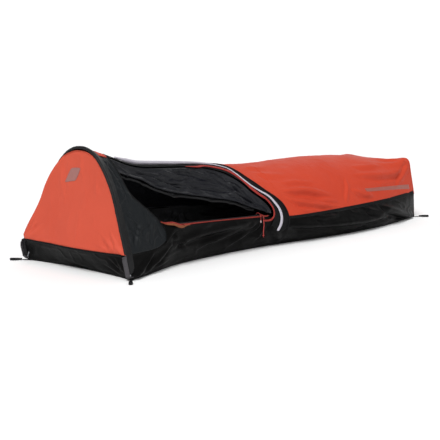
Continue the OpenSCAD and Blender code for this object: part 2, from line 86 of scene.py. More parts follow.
P1Y = [[0, 208], [300, 232], [600, 248], [1000, 252], [1300, 256], [1600, 256], [1850, 242], [2110, 216]]
P1Z = [[0, 290], [300, 270], [600, 240], [1000, 222], [1300, 232], [1600, 252], [1850, 290], [2110, 345]]
P2Y = [[0, 148], [300, 124], [600, 120], [1000, 140], [1300, 158], [1600, 176], [1850, 200], [2110, 215]]
SAG = [[0, 0], [300, 0], [1000, 0], [1600, 0], [1850, 10], [2110, 34]]
LINE_BIND = [[110, 0.03], [200, 0.02], [280, 0.02], [390, 0.02], [500, 0.02], [600, 0.02], [700, 0.01], [790, -0.02], [860, -0.05], [908, -0.12], [924, -0.27], [946, -0.43], [967, -0.58], [994, -0.73], [1011, -0.85], [1021, -0.96], [1019, -1.04], [1003, -1.12], [970, -1.18], [925, -1.19]]
LINE_PIPE = [[110, -0.03], [190, -0.05], [280, -0.04], [390, -0.05], [490, -0.07], [570, -0.08], [670, -0.08], [760, -0.08], [845, -0.12], [882, -0.25], [905, -0.41], [935, -0.55], [962, -0.70], [980, -0.82], [985, -0.92], [984, -1.00], [975, -1.07], [957, -1.12], [932, -1.15], [912, -1.15]]
LINE_RED = [[110, -0.10], [190, -0.12], [280, -0.12], [390, -0.13], [490, -0.14], [570, -0.14], [670, -0.14], [750, -0.165], [805, -0.24], [846, -0.39], [868, -0.53], [905, -0.64], [934, -0.74], [944, -0.84], [944, -0.93], [932, -1.01], [922, -1.06], [914, -1.09], [908, -1.11], [900, -1.13]]
LINE_DARK = [[110, -0.16], [190, -0.18], [280, -0.17], [390, -0.17], [490, -0.17], [570, -0.17], [670, -0.20], [745, -0.27], [792, -0.37], [828, -0.50], [846, -0.60], [882, -0.70], [908, -0.79], [920, -0.87], [918, -0.93]]
LINE_FOLD = [[128, -112, 404], [200, -108, 380], [266, -112, 358], [325, -140, 326], [400, -150, 300], [470, -152, 284], [560, -156, 268], [640, -182, 252], [700, -196, 240], [750, -212, 225], [790, -224, 208], [822, -234, 194], [850, -244, 182], [876, -252, 172], [896, -256, 164]]
GUSSET_EDGE = [[-1, 262], [-0.9, 244], [-0.8, 219], [-0.76, 204], [-0.7, 175], [-0.65, 145], [-0.58, 108], [-0.49, 93], [-0.39, 90], [-0.25, 92], [-0.1, 96]]


def spl(t, x):
    t = np.array(t, float)
    X, Y = t[:, 0], t[:, 1]
    x = np.clip(np.asarray(x, float), X[0], X[-1])
    i = np.clip(np.searchsorted(X, x, side="right") - 1, 0, len(X) - 2)
    m = np.empty(len(X))
    m[0], m[-1] = (Y[1] - Y[0]) / (X[1] - X[0]), (Y[-1] - Y[-2]) / (X[-1] - X[-2])
    m[1:-1] = (Y[2:] - Y[:-2]) / (X[2:] - X[:-2])
    h = X[i + 1] - X[i]
    u = (x - X[i]) / h
    return Y[i] * (1 + 2 * u) * (1 - u) ** 2 + h * m[i] * u * (1 - u) ** 2 + Y[i + 1] * u * u * (3 - 2 * u) + h * m[i + 1] * u * u * (u - 1)


def warp(s, y, z):
    s, y, z = np.broadcast_arrays(np.asarray(s, float), np.asarray(y, float), np.asarray(z, float))
    a = math.tan(LEAN) * z
    b = L - 0.13 * z
    return np.stack([a + s / L * (b - a) - OX, y, z], -1)


def cov(s, v):
    s, v = np.broadcast_arrays(np.asarray(s, float), np.asarray(v, float))
    q = np.abs(v)
    t = 1 - q
    zr = spl(RIDGE, s)
    y = np.sign(v) * (spl(SEAM_Y, s) * q**3 + 3 * spl(P1Y, s) * t * q * q + 3 * spl(P2Y, s) * t * t * q)
    z = spl(SEAM_Z, s) * q**3 + 3 * spl(P1Z, s) * t * q * q + 3 * zr * t * t * q + zr * t**3 - spl(SAG, s) * (1 - v * v) ** 2
    return warp(s, y, z)


def tub(s, w, side):
    s, w = np.broadcast_arrays(np.asarray(s, float), np.asarray(w, float))
    y = side * (spl(FLOOR_Y, s) * (1 - w) + spl(SEAM_Y, s) * w + spl(BULGE, s) * 4 * w * (1 - w))
    return warp(s, y, 2.2 + (spl(SEAM_Z, s) - 2.2) * w)


def skin(s, v):
    s, v = np.broadcast_arrays(np.asarray(s, float), np.asarray(v, float))
    return np.where((v >= -1)[..., None], cov(s, np.maximum(v, -1)), tub(s, 1 + (np.minimum(v, -1) + 1) * 3, -1))


def unit(a):
    return a / np.maximum(np.linalg.norm(a, axis=-1, keepdims=True), 1e-9)


def skin_n(s, v):
    return unit(np.cross(skin(s + 4.0, v) - skin(s - 4.0, v), skin(s, np.minimum(v + 0.02, 1)) - skin(s, v - 0.02)))


def fine(p, k):
    p = np.array(p, float)
    n = len(p)
    i = np.repeat(np.arange(n - 1), k)
    u = (np.tile(np.arange(k), n - 1) / k)[:, None]
    a, b, c, d = p[np.maximum(i - 1, 0)], p[i], p[i + 1], p[np.minimum(i + 2, n - 1)]
    r = 0.5 * (2 * b + (c - a) * u + (2 * a - 5 * b + 4 * c - d) * u**2 + (3 * b - a - 3 * c + d) * u**3)
    return np.vstack([r, p[-1:]])


R1, A1, R2, A2 = 150.0, 45.0, 480.0, 69.5
C1 = (0.0, 350.0)
C2 = (-(R2 - R1) * math.sin(math.radians(A1)), C1[1] - (R2 - R1) * math.cos(math.radians(A1)))
E2 = (C2[0] + R2 * math.sin(math.radians(A2)), C2[1] + R2 * math.cos(math.radians(A2)))


def leg_run(h):
    return (E2[1] - h) / math.sin(math.radians(A2))


def hoop_at(a, d):
    a, d = np.broadcast_arrays(np.asarray(a, float), np.asarray(d, float))
    s, b = np.sign(a), np.abs(a)
    sb, cb = np.sin(np.radians(b)), np.cos(np.radians(b))
    u = (b - A2) / (90 - A2) * leg_run(98)
    sa, ca = math.sin(math.radians(A2)), math.cos(math.radians(A2))
    x = np.where(b <= A1, (R1 - d) * sb, np.where(b <= A2, C2[0] + (R2 - d) * sb, E2[0] - d * sa + u * ca))
    y = np.where(b <= A1, C1[1] + (R1 - d) * cb, np.where(b <= A2, C2[1] + (R2 - d) * cb, E2[1] - d * ca - u * sa))
    return np.stack([s * x, y], -1)


def hoop3(a, d, x):
    p = hoop_at(a, d)
    return np.stack([x * math.cos(LEAN) + p[..., 1] * math.sin(LEAN) - OX, p[..., 0] + 0 * x, p[..., 1] * math.cos(LEAN) - x * math.sin(LEAN)], -1)


def head_floor(a):
    a = np.asarray(a, float)
    return np.stack([10 + 30 * (1 - a * a) - OX, a * 300, 2.2 + 0 * a], -1)


def head_seam_p(a):
    a = np.asarray(a, float)
    return np.stack([2 - 34 * (1 - a * a) - OX, a * 278, 97 + 0 * a], -1)


def zip_z(x):
    return 172 - 0.05 * (x - 340)


# ---------------------------------------------------------------- noise and folds
def vnoise(p, seed=0):
    """Smooth value noise of points (..., 3), from -1 to 1, one cell a unit."""
    p = np.asarray(p, float)
    i = np.floor(p).astype(np.int64)
    f = p - i
    f = f * f * f * (f * (f * 6 - 15) + 10)
    out = 0
    for dx in (0, 1):
        for dy in (0, 1):
            for dz in (0, 1):
                h = ((i[..., 0] + dx) * 73856093) ^ ((i[..., 1] + dy) * 19349663) ^ ((i[..., 2] + dz) * 83492791) ^ (seed * 2654435 + 1013)
                h = (h ^ (h >> 13)) * 1274126177 & 0x7FFFFFFF
                h = (h ^ (h >> 11)) * 668265263 & 0x7FFFFFFF
                val = (h & 0xFFFFF) / 524287.5 - 1
                w = np.where(dx, f[..., 0], 1 - f[..., 0]) * np.where(dy, f[..., 1], 1 - f[..., 1]) * np.where(dz, f[..., 2], 1 - f[..., 2])
                out = out + w * val
    return out


def fbm(p, seed=0, octaves=3):
    return sum(vnoise(np.asarray(p) * 2.03**k, seed + 7 * k) * 0.5**k for k in range(octaves)) / 1.6


def ridged(p, seed=0, sharp=2.0):
    """Sharp-crested creases, from 0 to 1."""
    return np.clip(1 - np.abs(vnoise(p, seed)) * 1.9, 0, 1) ** sharp


def smooth(x):
    x = np.clip(x, 0, 1)
    return x * x * (3 - 2 * x)


def normals(P):
    a = np.empty_like(P)
    a[1:-1] = P[2:] - P[:-2]
    a[0], a[-1] = P[1] - P[0], P[-1] - P[-2]
    b = np.empty_like(P)
    b[:, 1:-1] = P[:, 2:] - P[:, :-2]
    b[:, 0], b[:, -1] = P[:, 1] - P[:, 0], P[:, -1] - P[:, -2]
    return unit(np.cross(a, b))


def fold(P, N, pts, width, height, valley=0.6, ends=(0.25, 0.25), flip=1):
    """Height of one fold along a line of points: a rounded crest with a valley on one side."""
    pts = np.asarray(pts, float)
    best = np.full(P.shape[:-1], 1e9)
    x_at = np.zeros(P.shape[:-1])
    t_at = np.zeros(P.shape[:-1])
    seg_len = np.linalg.norm(np.diff(pts, axis=0), axis=1)
    total, done = seg_len.sum(), 0.0
    for k in range(len(pts) - 1):
        ab = pts[k + 1] - pts[k]
        d = ab / seg_len[k]
        t = np.clip(((P - pts[k]) @ d) / seg_len[k], 0, 1)
        off = P - (pts[k] + t[..., None] * ab)
        dist = np.linalg.norm(off, axis=-1)
        side = np.einsum("...i,...i", off, np.cross(N, d))
        new = dist < best
        best = np.where(new, dist, best)
        x_at = np.where(new, np.sign(side) * dist, x_at)
        t_at = np.where(new, (done + t * seg_len[k]) / total, t_at)
        done += seg_len[k]
    taper = smooth(t_at / max(ends[0], 1e-3)) * smooth((1 - t_at) / max(ends[1], 1e-3))
    w = width * (0.45 + 0.55 * taper)
    x = x_at * flip
    return height * taper * (np.exp(-((x / w) ** 2)) - valley * np.exp(-(((x - 1.5 * w) / w) ** 2)))


# ---------------------------------------------------------------- mesh building
def arc_uv(P):
    """Texture coordinates in metres from the lengths along a grid."""
    u = np.concatenate([np.zeros((1, P.shape[1])), np.cumsum(np.linalg.norm(np.diff(P, axis=0), axis=-1), 0)])
    v = np.concatenate([np.zeros((P.shape[0], 1)), np.cumsum(np.linalg.norm(np.diff(P, axis=1), axis=-1), 1)], 1)
    return np.stack([np.repeat(u.mean(1)[:, None], P.shape[1], 1), v], -1)


def pulled(v):
    """Where the tied-out corners pull the cloth: the far head corner flares, and the foot's top corners stand up."""
    x, y, z = v[:, 0], v[:, 1], v[:, 2]
    w = (1 - smooth((x + 1.056) / 0.20)) * smooth((y - 0.11) / 0.17) * smooth(z / 0.085) * (1 - smooth((z - 0.10) / 0.20))
    out = v + w[:, None] * np.array([-0.019, 0.023, 0.0])
    for side, wide, up in ((-1, 0.060, 0.022), (1, 0.095, 0.008)):
        k = smooth((x - 0.84) / 0.17) ** 1.5 * np.exp(-(((y - side * 0.212) / wide) ** 2 + ((z - 0.315) / 0.055) ** 2))
        out = out + k[:, None] * np.array([0.004, side * 0.014, up])
    return out


def build(name, parts, mats, smooth_shade=True):
    """One object from parts of (points, faces, uv per point, material index)."""
    vs, fs, uvs, idx, off = [], [], [], [], 0
    for pts, faces, uv, m in parts:
        pts = np.asarray(pts, float).reshape(-1, 3)
        vs.append(pts)
        uvs.append(np.asarray(uv, float).reshape(-1, 2))
        fs += [tuple(int(i) + off for i in f) for f in faces]
        idx += [m] * len(faces)
        off += len(pts)
    vs, uvs = pulled(np.vstack(vs)), np.vstack(uvs)
    me = bpy.data.meshes.new(name)
    me.from_pydata(vs.tolist(), [], fs)
    layer = me.uv_layers.new(name="UVMap")
    loops = np.zeros(len(me.loops), np.int64)
    me.loops.foreach_get("vertex_index", loops)
    layer.data.foreach_set("uv", uvs[loops].astype(np.float32).ravel())
    for m in mats:
        me.materials.append(m)
    me.polygons.foreach_set("material_index", np.array(idx, np.int32))
    me.polygons.foreach_set("use_smooth", np.full(len(me.polygons), smooth_shade))
    me.validate()
    me.update()
    o = bpy.data.objects.new(name, me)
    scene.collection.objects.link(o)
    return o


def grid_part(P, uv=None, m=0, flip=False, close_v=False):
    a, b = P.shape[:2]
    i, j = np.meshgrid(np.arange(a - 1), np.arange(b if close_v else b - 1), indexing="ij")
    j2 = (j + 1) % b
    q = np.stack([i * b + j, i * b + j2, (i + 1) * b + j2, (i + 1) * b + j], -1).reshape(-1, 4)
    if flip:
        q = q[:, ::-1]
    return P.reshape(-1, 3), q.tolist(), (arc_uv(P) if uv is None else uv), m


def solidify(o, t, offset=0.0, inner=0, rim=0):
    s = o.modifiers.new("thickness", "SOLIDIFY")
    s.thickness, s.offset, s.use_even_offset = t, offset, False
    s.material_offset, s.material_offset_rim = inner, rim
    return o


def cloth(name, P, mats, uv=None, t=0.0007, offset=0.0, inner=0, flip=False):
    return solidify(build(name, [grid_part(P, uv, 0, flip)], mats), t, offset, inner)


def frames(path, up):
    """Tangent, side and up at each point of a path."""
    T = np.empty_like(path)
    T[1:-1] = path[2:] - path[:-2]
    T[0], T[-1] = path[1] - path[0], path[-1] - path[-2]
    T = unit(T)
    U = np.broadcast_to(np.asarray(up, float), path.shape)
    S = unit(np.cross(T, U))
    return T, S, np.cross(S, T)


def sweep(path, up, profile, caps=True, m=0, scale=None):
    """A closed profile (n, 2) of (side, up) offsets, carried along a path."""
    T, S, U = frames(path, up)
    profile = np.asarray(profile, float)
    k = np.ones(len(path)) if scale is None else np.asarray(scale, float)
    R = path[:, None, :] + (S[:, None, :] * profile[None, :, :1] + U[:, None, :] * profile[None, :, 1:]) * k[:, None, None]
    n = len(profile)
    pts, faces, _, _ = grid_part(R, np.zeros(R.shape[:2] + (2,)), m, close_v=True)
    faces = [f[::-1] for f in faces]
    run = np.concatenate([[0], np.cumsum(np.linalg.norm(np.diff(path, axis=0), axis=1))])
    per = np.concatenate([[0], np.cumsum(np.linalg.norm(np.diff(profile, axis=0), axis=1))])
    uv = np.stack(np.meshgrid(run, per, indexing="ij"), -1)
    if caps:
        faces = faces + [list(range(n)), list(range((len(path) - 1) * n, len(path) * n))[::-1]]
    return pts, faces, uv, m


def circle(r, n=10, ry=None):
    a = np.arange(n) * 2 * math.pi / n
    return np.stack([r * np.cos(a), (ry or r) * np.sin(a)], -1)


def flat_profile(w, t, n=4):
    """A ribbon's section, w wide and t thick, with rounded edges."""
    a = np.linspace(-math.pi / 2, math.pi / 2, n)
    right = np.stack([w / 2 - t / 2 + t / 2 * np.cos(a), t / 2 * np.sin(a)], -1)
    mid = np.linspace(w / 2 - t / 2, -(w / 2 - t / 2), 5)[1:-1]
    left = -right
    return np.vstack([right, np.stack([mid, np.full(3, t / 2)], -1), left, np.stack([-mid, np.full(3, -t / 2)], -1)])


def resample(path, step):
    path = np.asarray(path, float)
    run = np.concatenate([[0], np.cumsum(np.linalg.norm(np.diff(path, axis=0), axis=1))])
    n = max(2, int(round(run[-1] / step)) + 1)
    at = np.linspace(0, run[-1], n)
    return np.stack([np.interp(at, run, path[:, k]) for k in range(3)], -1)


def stitch_parts(path, nrm, pitch=0.0042, length=0.0027, r=0.00035, lift=0.00025, m=0):
    """Separate stitches along a path: short raised threads that dip in at both ends."""
    path, nrm = np.asarray(path, float), np.asarray(nrm, float)
    run = np.concatenate([[0], np.cumsum(np.linalg.norm(np.diff(path, axis=0), axis=1))])
    n = int(run[-1] / pitch)
    if n < 1:
        return []
    at = (np.arange(n) + 0.5) * pitch

    def on(x, src):
        return np.stack([np.interp(x, run, src[:, k]) for k in range(3)], -1)

    rings = []
    for k, (f, h, rr) in enumerate([(-0.5, -0.6, 0.55), (-0.3, 0.7, 1.0), (0.0, 1.0, 1.0), (0.3, 0.7, 1.0), (0.5, -0.6, 0.55)]):
        c = on(at + f * length, path)
        nn = unit(on(at + f * length, nrm))
        t = unit(on(at + f * length + 1e-4, path) - on(at + f * length - 1e-4, path))
        s = np.cross(t, nn)
        c = c + nn * (lift * h)
        ring = np.stack([c + (s * math.cos(a) + nn * math.sin(a)) * r * rr for a in np.arange(5) * 2 * math.pi / 5], 1)
        rings.append(ring)
    R = np.stack(rings, 1)  # n, 5 rings, 5 sides, 3
    base = []
    for i in range(4):
        for j in range(5):
            j2 = (j + 1) % 5
            base.append([i * 5 + j, (i + 1) * 5 + j, (i + 1) * 5 + j2, i * 5 + j2])
    base.append([4, 3, 2, 1, 0])
    faces = (np.array(base[:-1])[None] + (np.arange(n) * 25)[:, None, None]).reshape(-1, 4).tolist()
    return [(R.reshape(-1, 3), faces, np.zeros((n * 25, 2)), m)]


def hoop_blend(o, kind):
    """Bakes the object's placement into its mesh; the kinds, the cover's end, the tub's corners and the head wall, are
    all treated alike.
    """
    if kind == "cover":
        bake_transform(o)
    elif kind == "corner":
        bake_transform(o)
    else:
        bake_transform(o)
    return o


# ---------------------------------------------------------------- materials
def srgb(r, g, b):
    def f(c):
        c /= 255
        return c / 12.92 if c <= 0.04045 else ((c + 0.055) / 1.055) ** 2.4
    return (f(r), f(g), f(b), 1.0)


class Nodes:
    """A small helper to wire a material's nodes."""

    def __init__(self, name):
        self.mat = bpy.data.materials.new(name)
        self.mat.use_nodes = True
        self.t = self.mat.node_tree
        self.bsdf = self.t.nodes["Principled BSDF"]

    def add(self, kind, **props):
        n = self.t.nodes.new(kind)
        for k, v in props.items():
            setattr(n, k, v)
        return n

    def link(self, a, b):
        self.t.links.new(a, b)

    def math(self, op, a, b=None, c=None, clamp=False):
        n = self.add("ShaderNodeMath", operation=op, use_clamp=clamp)
        for k, x in enumerate((a, b, c)):
            if x is None:
                continue
            if isinstance(x, (int, float)):
                n.inputs[k].default_value = x
            else:
                self.link(x, n.inputs[k])
        return n.outputs[0]

    def coord(self, which):
        return self.add("ShaderNodeTexCoord").outputs[which]

    def noise(self, scale, detail=3.0, coord="Object", rough=0.55, vec=None):
        n = self.add("ShaderNodeTexNoise")
        n.inputs["Scale"].default_value = scale
        n.inputs["Detail"].default_value = detail
        n.inputs["Roughness"].default_value = rough
        self.link(vec if vec is not None else self.coord(coord), n.inputs["Vector"])
        return n.outputs["Fac"]

    def ramp(self, fac, lo, hi, a, b):
        n = self.add("ShaderNodeMapRange")
        n.inputs["From Min"].default_value, n.inputs["From Max"].default_value = lo, hi
        n.inputs["To Min"].default_value, n.inputs["To Max"].default_value = a, b
        self.link(fac, n.inputs["Value"])
        return n.outputs["Result"]

    def mix(self, fac, a, b):
        n = self.add("ShaderNodeMix", data_type="RGBA")
        n.inputs["Factor"].default_value = 0.5
        if isinstance(fac, (int, float)):
            n.inputs["Factor"].default_value = fac
        else:
            self.link(fac, n.inputs["Factor"])
        for k, x in ((6, a), (7, b)):
            if isinstance(x, tuple):
                n.inputs[k].default_value = x
            else:
                self.link(x, n.inputs[k])
        return n.outputs[2]

    def bump(self, height, dist, strength=1.0, under=None):
        n = self.add("ShaderNodeBump")
        n.inputs["Strength"].default_value = strength
        n.inputs["Distance"].default_value = dist
        self.link(height, n.inputs["Height"])
        if under is not None:
            self.link(under, n.inputs["Normal"])
        return n.outputs["Normal"]


def weave_height(w, pitch, rib=None):
    """Height of a plain weave in UV metres, with an optional ripstop grid."""
    sep = w.add("ShaderNodeSeparateXYZ")
    w.link(w.coord("UV"), sep.inputs[0])
    k = math.pi / pitch
    su = w.math("SINE", w.math("MULTIPLY", sep.outputs[0], k))
    sv = w.math("SINE", w.math("MULTIPLY", sep.outputs[1], k))
    h = w.math("MULTIPLY", su, sv)
    grid_lines = None
    if rib:
        g = math.pi / rib
        lines = [w.math("POWER", w.math("ABSOLUTE", w.math("COSINE", w.math("MULTIPLY", s, g))), 220.0) for s in (sep.outputs[0], sep.outputs[1])]
        grid_lines = w.math("MAXIMUM", lines[0], lines[1])
        h = w.math("ADD", h, w.math("MULTIPLY", grid_lines, 1.6))
    return h, grid_lines


def fabric(name, col, dark, rough=0.62, pitch=0.0005, rib=0.005, depth=0.00006, sheen=0.0, crumple=0.0, spec=0.35, var_scale=2.2, coat=0.0, sheen_rough=0.5):
    w = Nodes(name)
    b = w.bsdf
    h, lines = weave_height(w, pitch, rib)
    big = w.noise(var_scale, 3.0)
    fine_n = w.noise(60.0, 2.0)
    c = w.mix(w.ramp(big, 0.3, 0.7, 0.0, 1.0), col, dark)
    c = w.mix(w.ramp(fine_n, 0.2, 0.8, 0.0, 0.12), c, dark)
    if lines is not None:
        lighter = tuple(min(1.0, x * 1.25 + 0.004) for x in col[:3]) + (1.0,)
        c = w.mix(w.math("MULTIPLY", lines, 0.22), c, lighter)
    w.link(c, b.inputs["Base Color"])
    w.link(w.ramp(w.noise(9.0, 3.0), 0.3, 0.7, rough - 0.07, rough + 0.07), b.inputs["Roughness"])
    n = None
    if crumple > 0:
        cr = w.noise(26.0, 4.0, rough=0.62)
        n = w.bump(cr, crumple, 0.7)
    n = w.bump(h, depth, 0.55, n)
    w.link(n, b.inputs["Normal"])
    b.inputs["Specular IOR Level"].default_value = spec
    if sheen > 0:
        b.inputs["Sheen Weight"].default_value = sheen
        b.inputs["Sheen Roughness"].default_value = sheen_rough
    if coat > 0:
        b.inputs["Coat Weight"].default_value = coat
        b.inputs["Coat Roughness"].default_value = 0.35
    return w.mat


def webbing(name, col, light, rib=0.0016):
    w = Nodes(name)
    b = w.bsdf
    sep = w.add("ShaderNodeSeparateXYZ")
    w.link(w.coord("UV"), sep.inputs[0])
    ribs = w.math("SINE", w.math("MULTIPLY", sep.outputs[0], 2 * math.pi / rib))
    warp_y = w.math("SINE", w.math("MULTIPLY", sep.outputs[1], 2 * math.pi / (rib * 1.3)))
    h = w.math("ADD", ribs, w.math("MULTIPLY", warp_y, 0.4))
    c = w.mix(w.ramp(h, -1.2, 1.2, 0.0, 1.0), col, light)
    c = w.mix(w.ramp(w.noise(30.0), 0.3, 0.7, 0.0, 0.3), c, col)
    w.link(c, b.inputs["Base Color"])
    b.inputs["Roughness"].default_value = 0.78
    b.inputs["Specular IOR Level"].default_value = 0.25
    w.link(w.bump(h, 0.00018, 0.7), b.inputs["Normal"])
    return w.mat


def hard(name, col, rough, metallic=0.0, bump_scale=400.0, bump_d=0.00004, var=0.1, spec=0.5):
    w = Nodes(name)
    b = w.bsdf
    dark = tuple(x * (1 - var * 2) for x in col[:3]) + (1.0,)
    w.link(w.mix(w.ramp(w.noise(35.0, 4.0), 0.3, 0.7, 0.0, 1.0), col, dark), b.inputs["Base Color"])
    w.link(w.ramp(w.noise(120.0, 3.0), 0.3, 0.7, rough - 0.08, rough + 0.08), b.inputs["Roughness"])
    b.inputs["Metallic"].default_value = metallic
    b.inputs["Specular IOR Level"].default_value = spec
    w.link(w.bump(w.noise(bump_scale, 2.0), bump_d, 0.5), b.inputs["Normal"])
    return w.mat


def net(name):
    """Insect netting: fine threads with clear holes between them."""
    w = Nodes(name)
    b = w.bsdf
    sep = w.add("ShaderNodeSeparateXYZ")
    w.link(w.coord("UV"), sep.inputs[0])
    lines = [w.math("POWER", w.math("ABSOLUTE", w.math("COSINE", w.math("MULTIPLY", s, math.pi / 0.0011))), 3.0) for s in (sep.outputs[0], sep.outputs[1])]
    a = w.math("MAXIMUM", lines[0], lines[1])
    w.link(w.ramp(a, 0.25, 0.6, 0.12, 1.0), b.inputs["Alpha"])
    w.link(w.mix(w.ramp(w.noise(40.0), 0.3, 0.7, 0.0, 1.0), (0.012, 0.012, 0.014, 1), (0.022, 0.022, 0.025, 1)), b.inputs["Base Color"])
    b.inputs["Roughness"].default_value = 0.7
    return w.mat


def reflective(name, col, dark):
    """Retroreflective tape: tiny beads on a grey cloth."""
    w = Nodes(name)
    b = w.bsdf
    cells = w.add("ShaderNodeTexVoronoi")
    cells.inputs["Scale"].default_value = 900.0
    w.link(w.coord("Object"), cells.inputs["Vector"])
    c = w.mix(w.ramp(cells.outputs["Distance"], 0.0, 0.7, 0.0, 1.0), col, dark)
    c = w.mix(w.ramp(w.noise(18.0), 0.35, 0.7, 0.0, 0.35), c, dark)
    w.link(c, b.inputs["Base Color"])
    b.inputs["Roughness"].default_value = 0.42
    b.inputs["Specular IOR Level"].default_value = 0.6
    w.link(w.bump(cells.outputs["Distance"], 0.00005, 0.5), b.inputs["Normal"])
    return w.mat


def cord_mat(name, col, dark, pitch=0.0016):
    """Braided cord: crossing diagonal strands."""
    w = Nodes(name)
    b = w.bsdf
    sep = w.add("ShaderNodeSeparateXYZ")
    w.link(w.coord("UV"), sep.inputs[0])
    k = 2 * math.pi / pitch
    a = w.math("SINE", w.math("MULTIPLY", w.math("ADD", sep.outputs[0], sep.outputs[1]), k))
    c2 = w.math("SINE", w.math("MULTIPLY", w.math("SUBTRACT", sep.outputs[0], sep.outputs[1]), k))
    h = w.math("MULTIPLY", a, c2)
    w.link(w.mix(w.ramp(h, -1.0, 1.0, 0.0, 1.0), dark, col), b.inputs["Base Color"])
    b.inputs["Roughness"].default_value = 0.7
    w.link(w.bump(h, 0.0002, 0.7), b.inputs["Normal"])
    return w.mat


ORANGE, ORANGE_D = (0.530, 0.055, 0.0230, 1), (0.480, 0.045, 0.0185, 1)
# the head panel's pair is the shell orange made lighter and less saturated: painted light for the brighter, lit head
# end
HEAD_LIT_O, HEAD_LIT_D = (0.560, 0.082, 0.044, 1), (0.510, 0.070, 0.037, 1)
M = {
    "orange": fabric("shell_orange", ORANGE, ORANGE_D, rough=0.60, rib=0.0055, depth=0.00005, crumple=0.0014, spec=0.16),
    # the head panel's copy of the shell orange, lighter than the cover's: painted light
    "head_orange_lit": fabric("shell_head_orange_lit", HEAD_LIT_O, HEAD_LIT_D, rough=0.60, rib=0.0055, depth=0.00005, crumple=0.0012, spec=0.18),
    "tan": fabric("tape_back", (0.21, 0.066, 0.028, 1), (0.16, 0.048, 0.020, 1), rough=0.7, rib=None, spec=0.2),
    "lining": fabric("shell_lining", (0.022, 0.023, 0.028, 1), (0.016, 0.016, 0.020, 1), rough=0.6, rib=0.0055, crumple=0.0016, spec=0.2),
    "tub": fabric("tub_fabric", (0.0018, 0.0017, 0.0017, 1), (0.0012, 0.0012, 0.0012, 1), rough=0.42, pitch=0.0006, rib=None, depth=0.00006, crumple=0.0020, spec=0.065, var_scale=3.0),
    "gusset": fabric("gusset_fabric", (0.0065, 0.0085, 0.0100, 1), (0.0048, 0.0062, 0.0075, 1), rough=0.5, rib=0.0055, crumple=0.0022, spec=0.17),
    "flap": fabric("flap_lining", (0.0055, 0.0060, 0.0090, 1), (0.0034, 0.0037, 0.0058, 1), rough=0.36, rib=0.0055, crumple=0.0028, spec=0.26),
    "binding": fabric("binding", (0.0042, 0.0042, 0.0046, 1), (0.0030, 0.0030, 0.0033, 1), rough=0.7, pitch=0.0009, rib=None, depth=0.00012, spec=0.14),
    "sleeve": fabric("sleeve_fabric", (0.0060, 0.0060, 0.0066, 1), (0.0045, 0.0045, 0.0050, 1), rough=0.52, rib=None, pitch=0.0007, crumple=0.0012, spec=0.22),
    "floor_in": fabric("floor_inside", (0.130, 0.130, 0.136, 1), (0.100, 0.100, 0.106, 1), rough=0.5, rib=None, crumple=0.002, spec=0.2),
    "red": fabric("zip_tape_red", srgb(158, 46, 40), srgb(130, 36, 31), rough=0.7, pitch=0.0008, rib=None, depth=0.0001, spec=0.3),
    "red_coil": cord_mat("zip_coil_red", srgb(190, 66, 52), srgb(120, 34, 28), 0.0012),
    "grey_tape": fabric("zip_tape_grey", (0.018, 0.018, 0.020, 1), (0.012, 0.012, 0.014, 1), rough=0.75, pitch=0.0008, rib=None, depth=0.0001),
    "grey_coil": cord_mat("zip_coil_grey", (0.03, 0.03, 0.032, 1), (0.015, 0.015, 0.017, 1), 0.0012),
    "reflect": reflective("reflective_tape", srgb(206, 202, 210), srgb(172, 167, 178)),
    "patch": reflective("patch_film", srgb(158, 104, 98), srgb(142, 92, 86)),
    "strip": reflective("strip_film", srgb(158, 84, 72), srgb(146, 74, 62)),
    "net": net("insect_net"),
    "web_black": webbing("webbing_black", (0.005, 0.005, 0.0054, 1), (0.011, 0.011, 0.012, 1)),
    "web_grey": webbing("webbing_grey", srgb(60, 58, 61), srgb(82, 80, 83)),
    "thread_black": hard("thread_black", (0.02, 0.02, 0.021, 1), 0.6),
    "thread_orange": hard("thread_orange", (0.42, 0.06, 0.035, 1), 0.6),
    "thread_grey": hard("thread_grey", (0.16, 0.16, 0.165, 1), 0.6),
    "alloy": hard("pole_alloy", (0.30, 0.31, 0.33, 1), 0.38, metallic=1.0, bump_scale=900.0, bump_d=0.00002, var=0.05),
    "elastic": cord_mat("shock_cord", (0.5, 0.5, 0.5, 1), (0.3, 0.3, 0.3, 1)),
    "plastic": hard("tip_plastic", (0.02, 0.02, 0.021, 1), 0.45, bump_scale=700.0, bump_d=0.00005),
    "slider": hard("slider_paint", srgb(150, 48, 42), 0.38, metallic=0.3, bump_scale=900.0),
    "slider_dark": hard("slider_dark", (0.03, 0.03, 0.032, 1), 0.35, metallic=0.6, bump_scale=900.0),
    "cord": cord_mat("pull_cord_red", srgb(190, 62, 56), srgb(130, 36, 34)),
    "end": hard("pull_end", srgb(196, 168, 168), 0.4),
}


def P(a):
    """Millimetres to metres."""
    return np.asarray(a, float) * MM


def arc_v(s, v, n=16):
    """Signed distance over the cover from the ridge, in metres."""
    q = np.linspace(0, 1, n + 1)
    pts = skin(np.asarray(s)[..., None] + 0 * q, np.asarray(v)[..., None] * q)
    return np.sign(v) * np.linalg.norm(np.diff(pts, axis=-2), axis=-1).sum(-1) * MM


# ---------------------------------------------------------------- cords on the sliders
PULL = np.array([856 - OX, -269.6, 153.0])
CORD_OUT = np.array([[0, -0.6, -16.5], [-0.4, -1.6, -24], [0.6, -2, -34], [1, -1.6, -44], [0.2, -1.2, -54], [-0.8, -1, -64], [-0.6, -0.6, -74], [0, 0, -82]])
MP = np.array([834 - OX, -245.0, zip_z(834)])
CORD_IN = np.array([[0, 0, 13.5], [0, -2, 17.5], [0, -8, 20], [-1, -16, 20], [-2, -24, 16], [-3, -29, 8], [-4, -31, -2], [-5, -32, -10]])


def cord_piece(name, route, r, mats):
    pts = P(fine(route, 5))
    o = build(name, [sweep(pts, (0.3, 1, 0.2), circle(r, 12))], mats)
    return o, pts


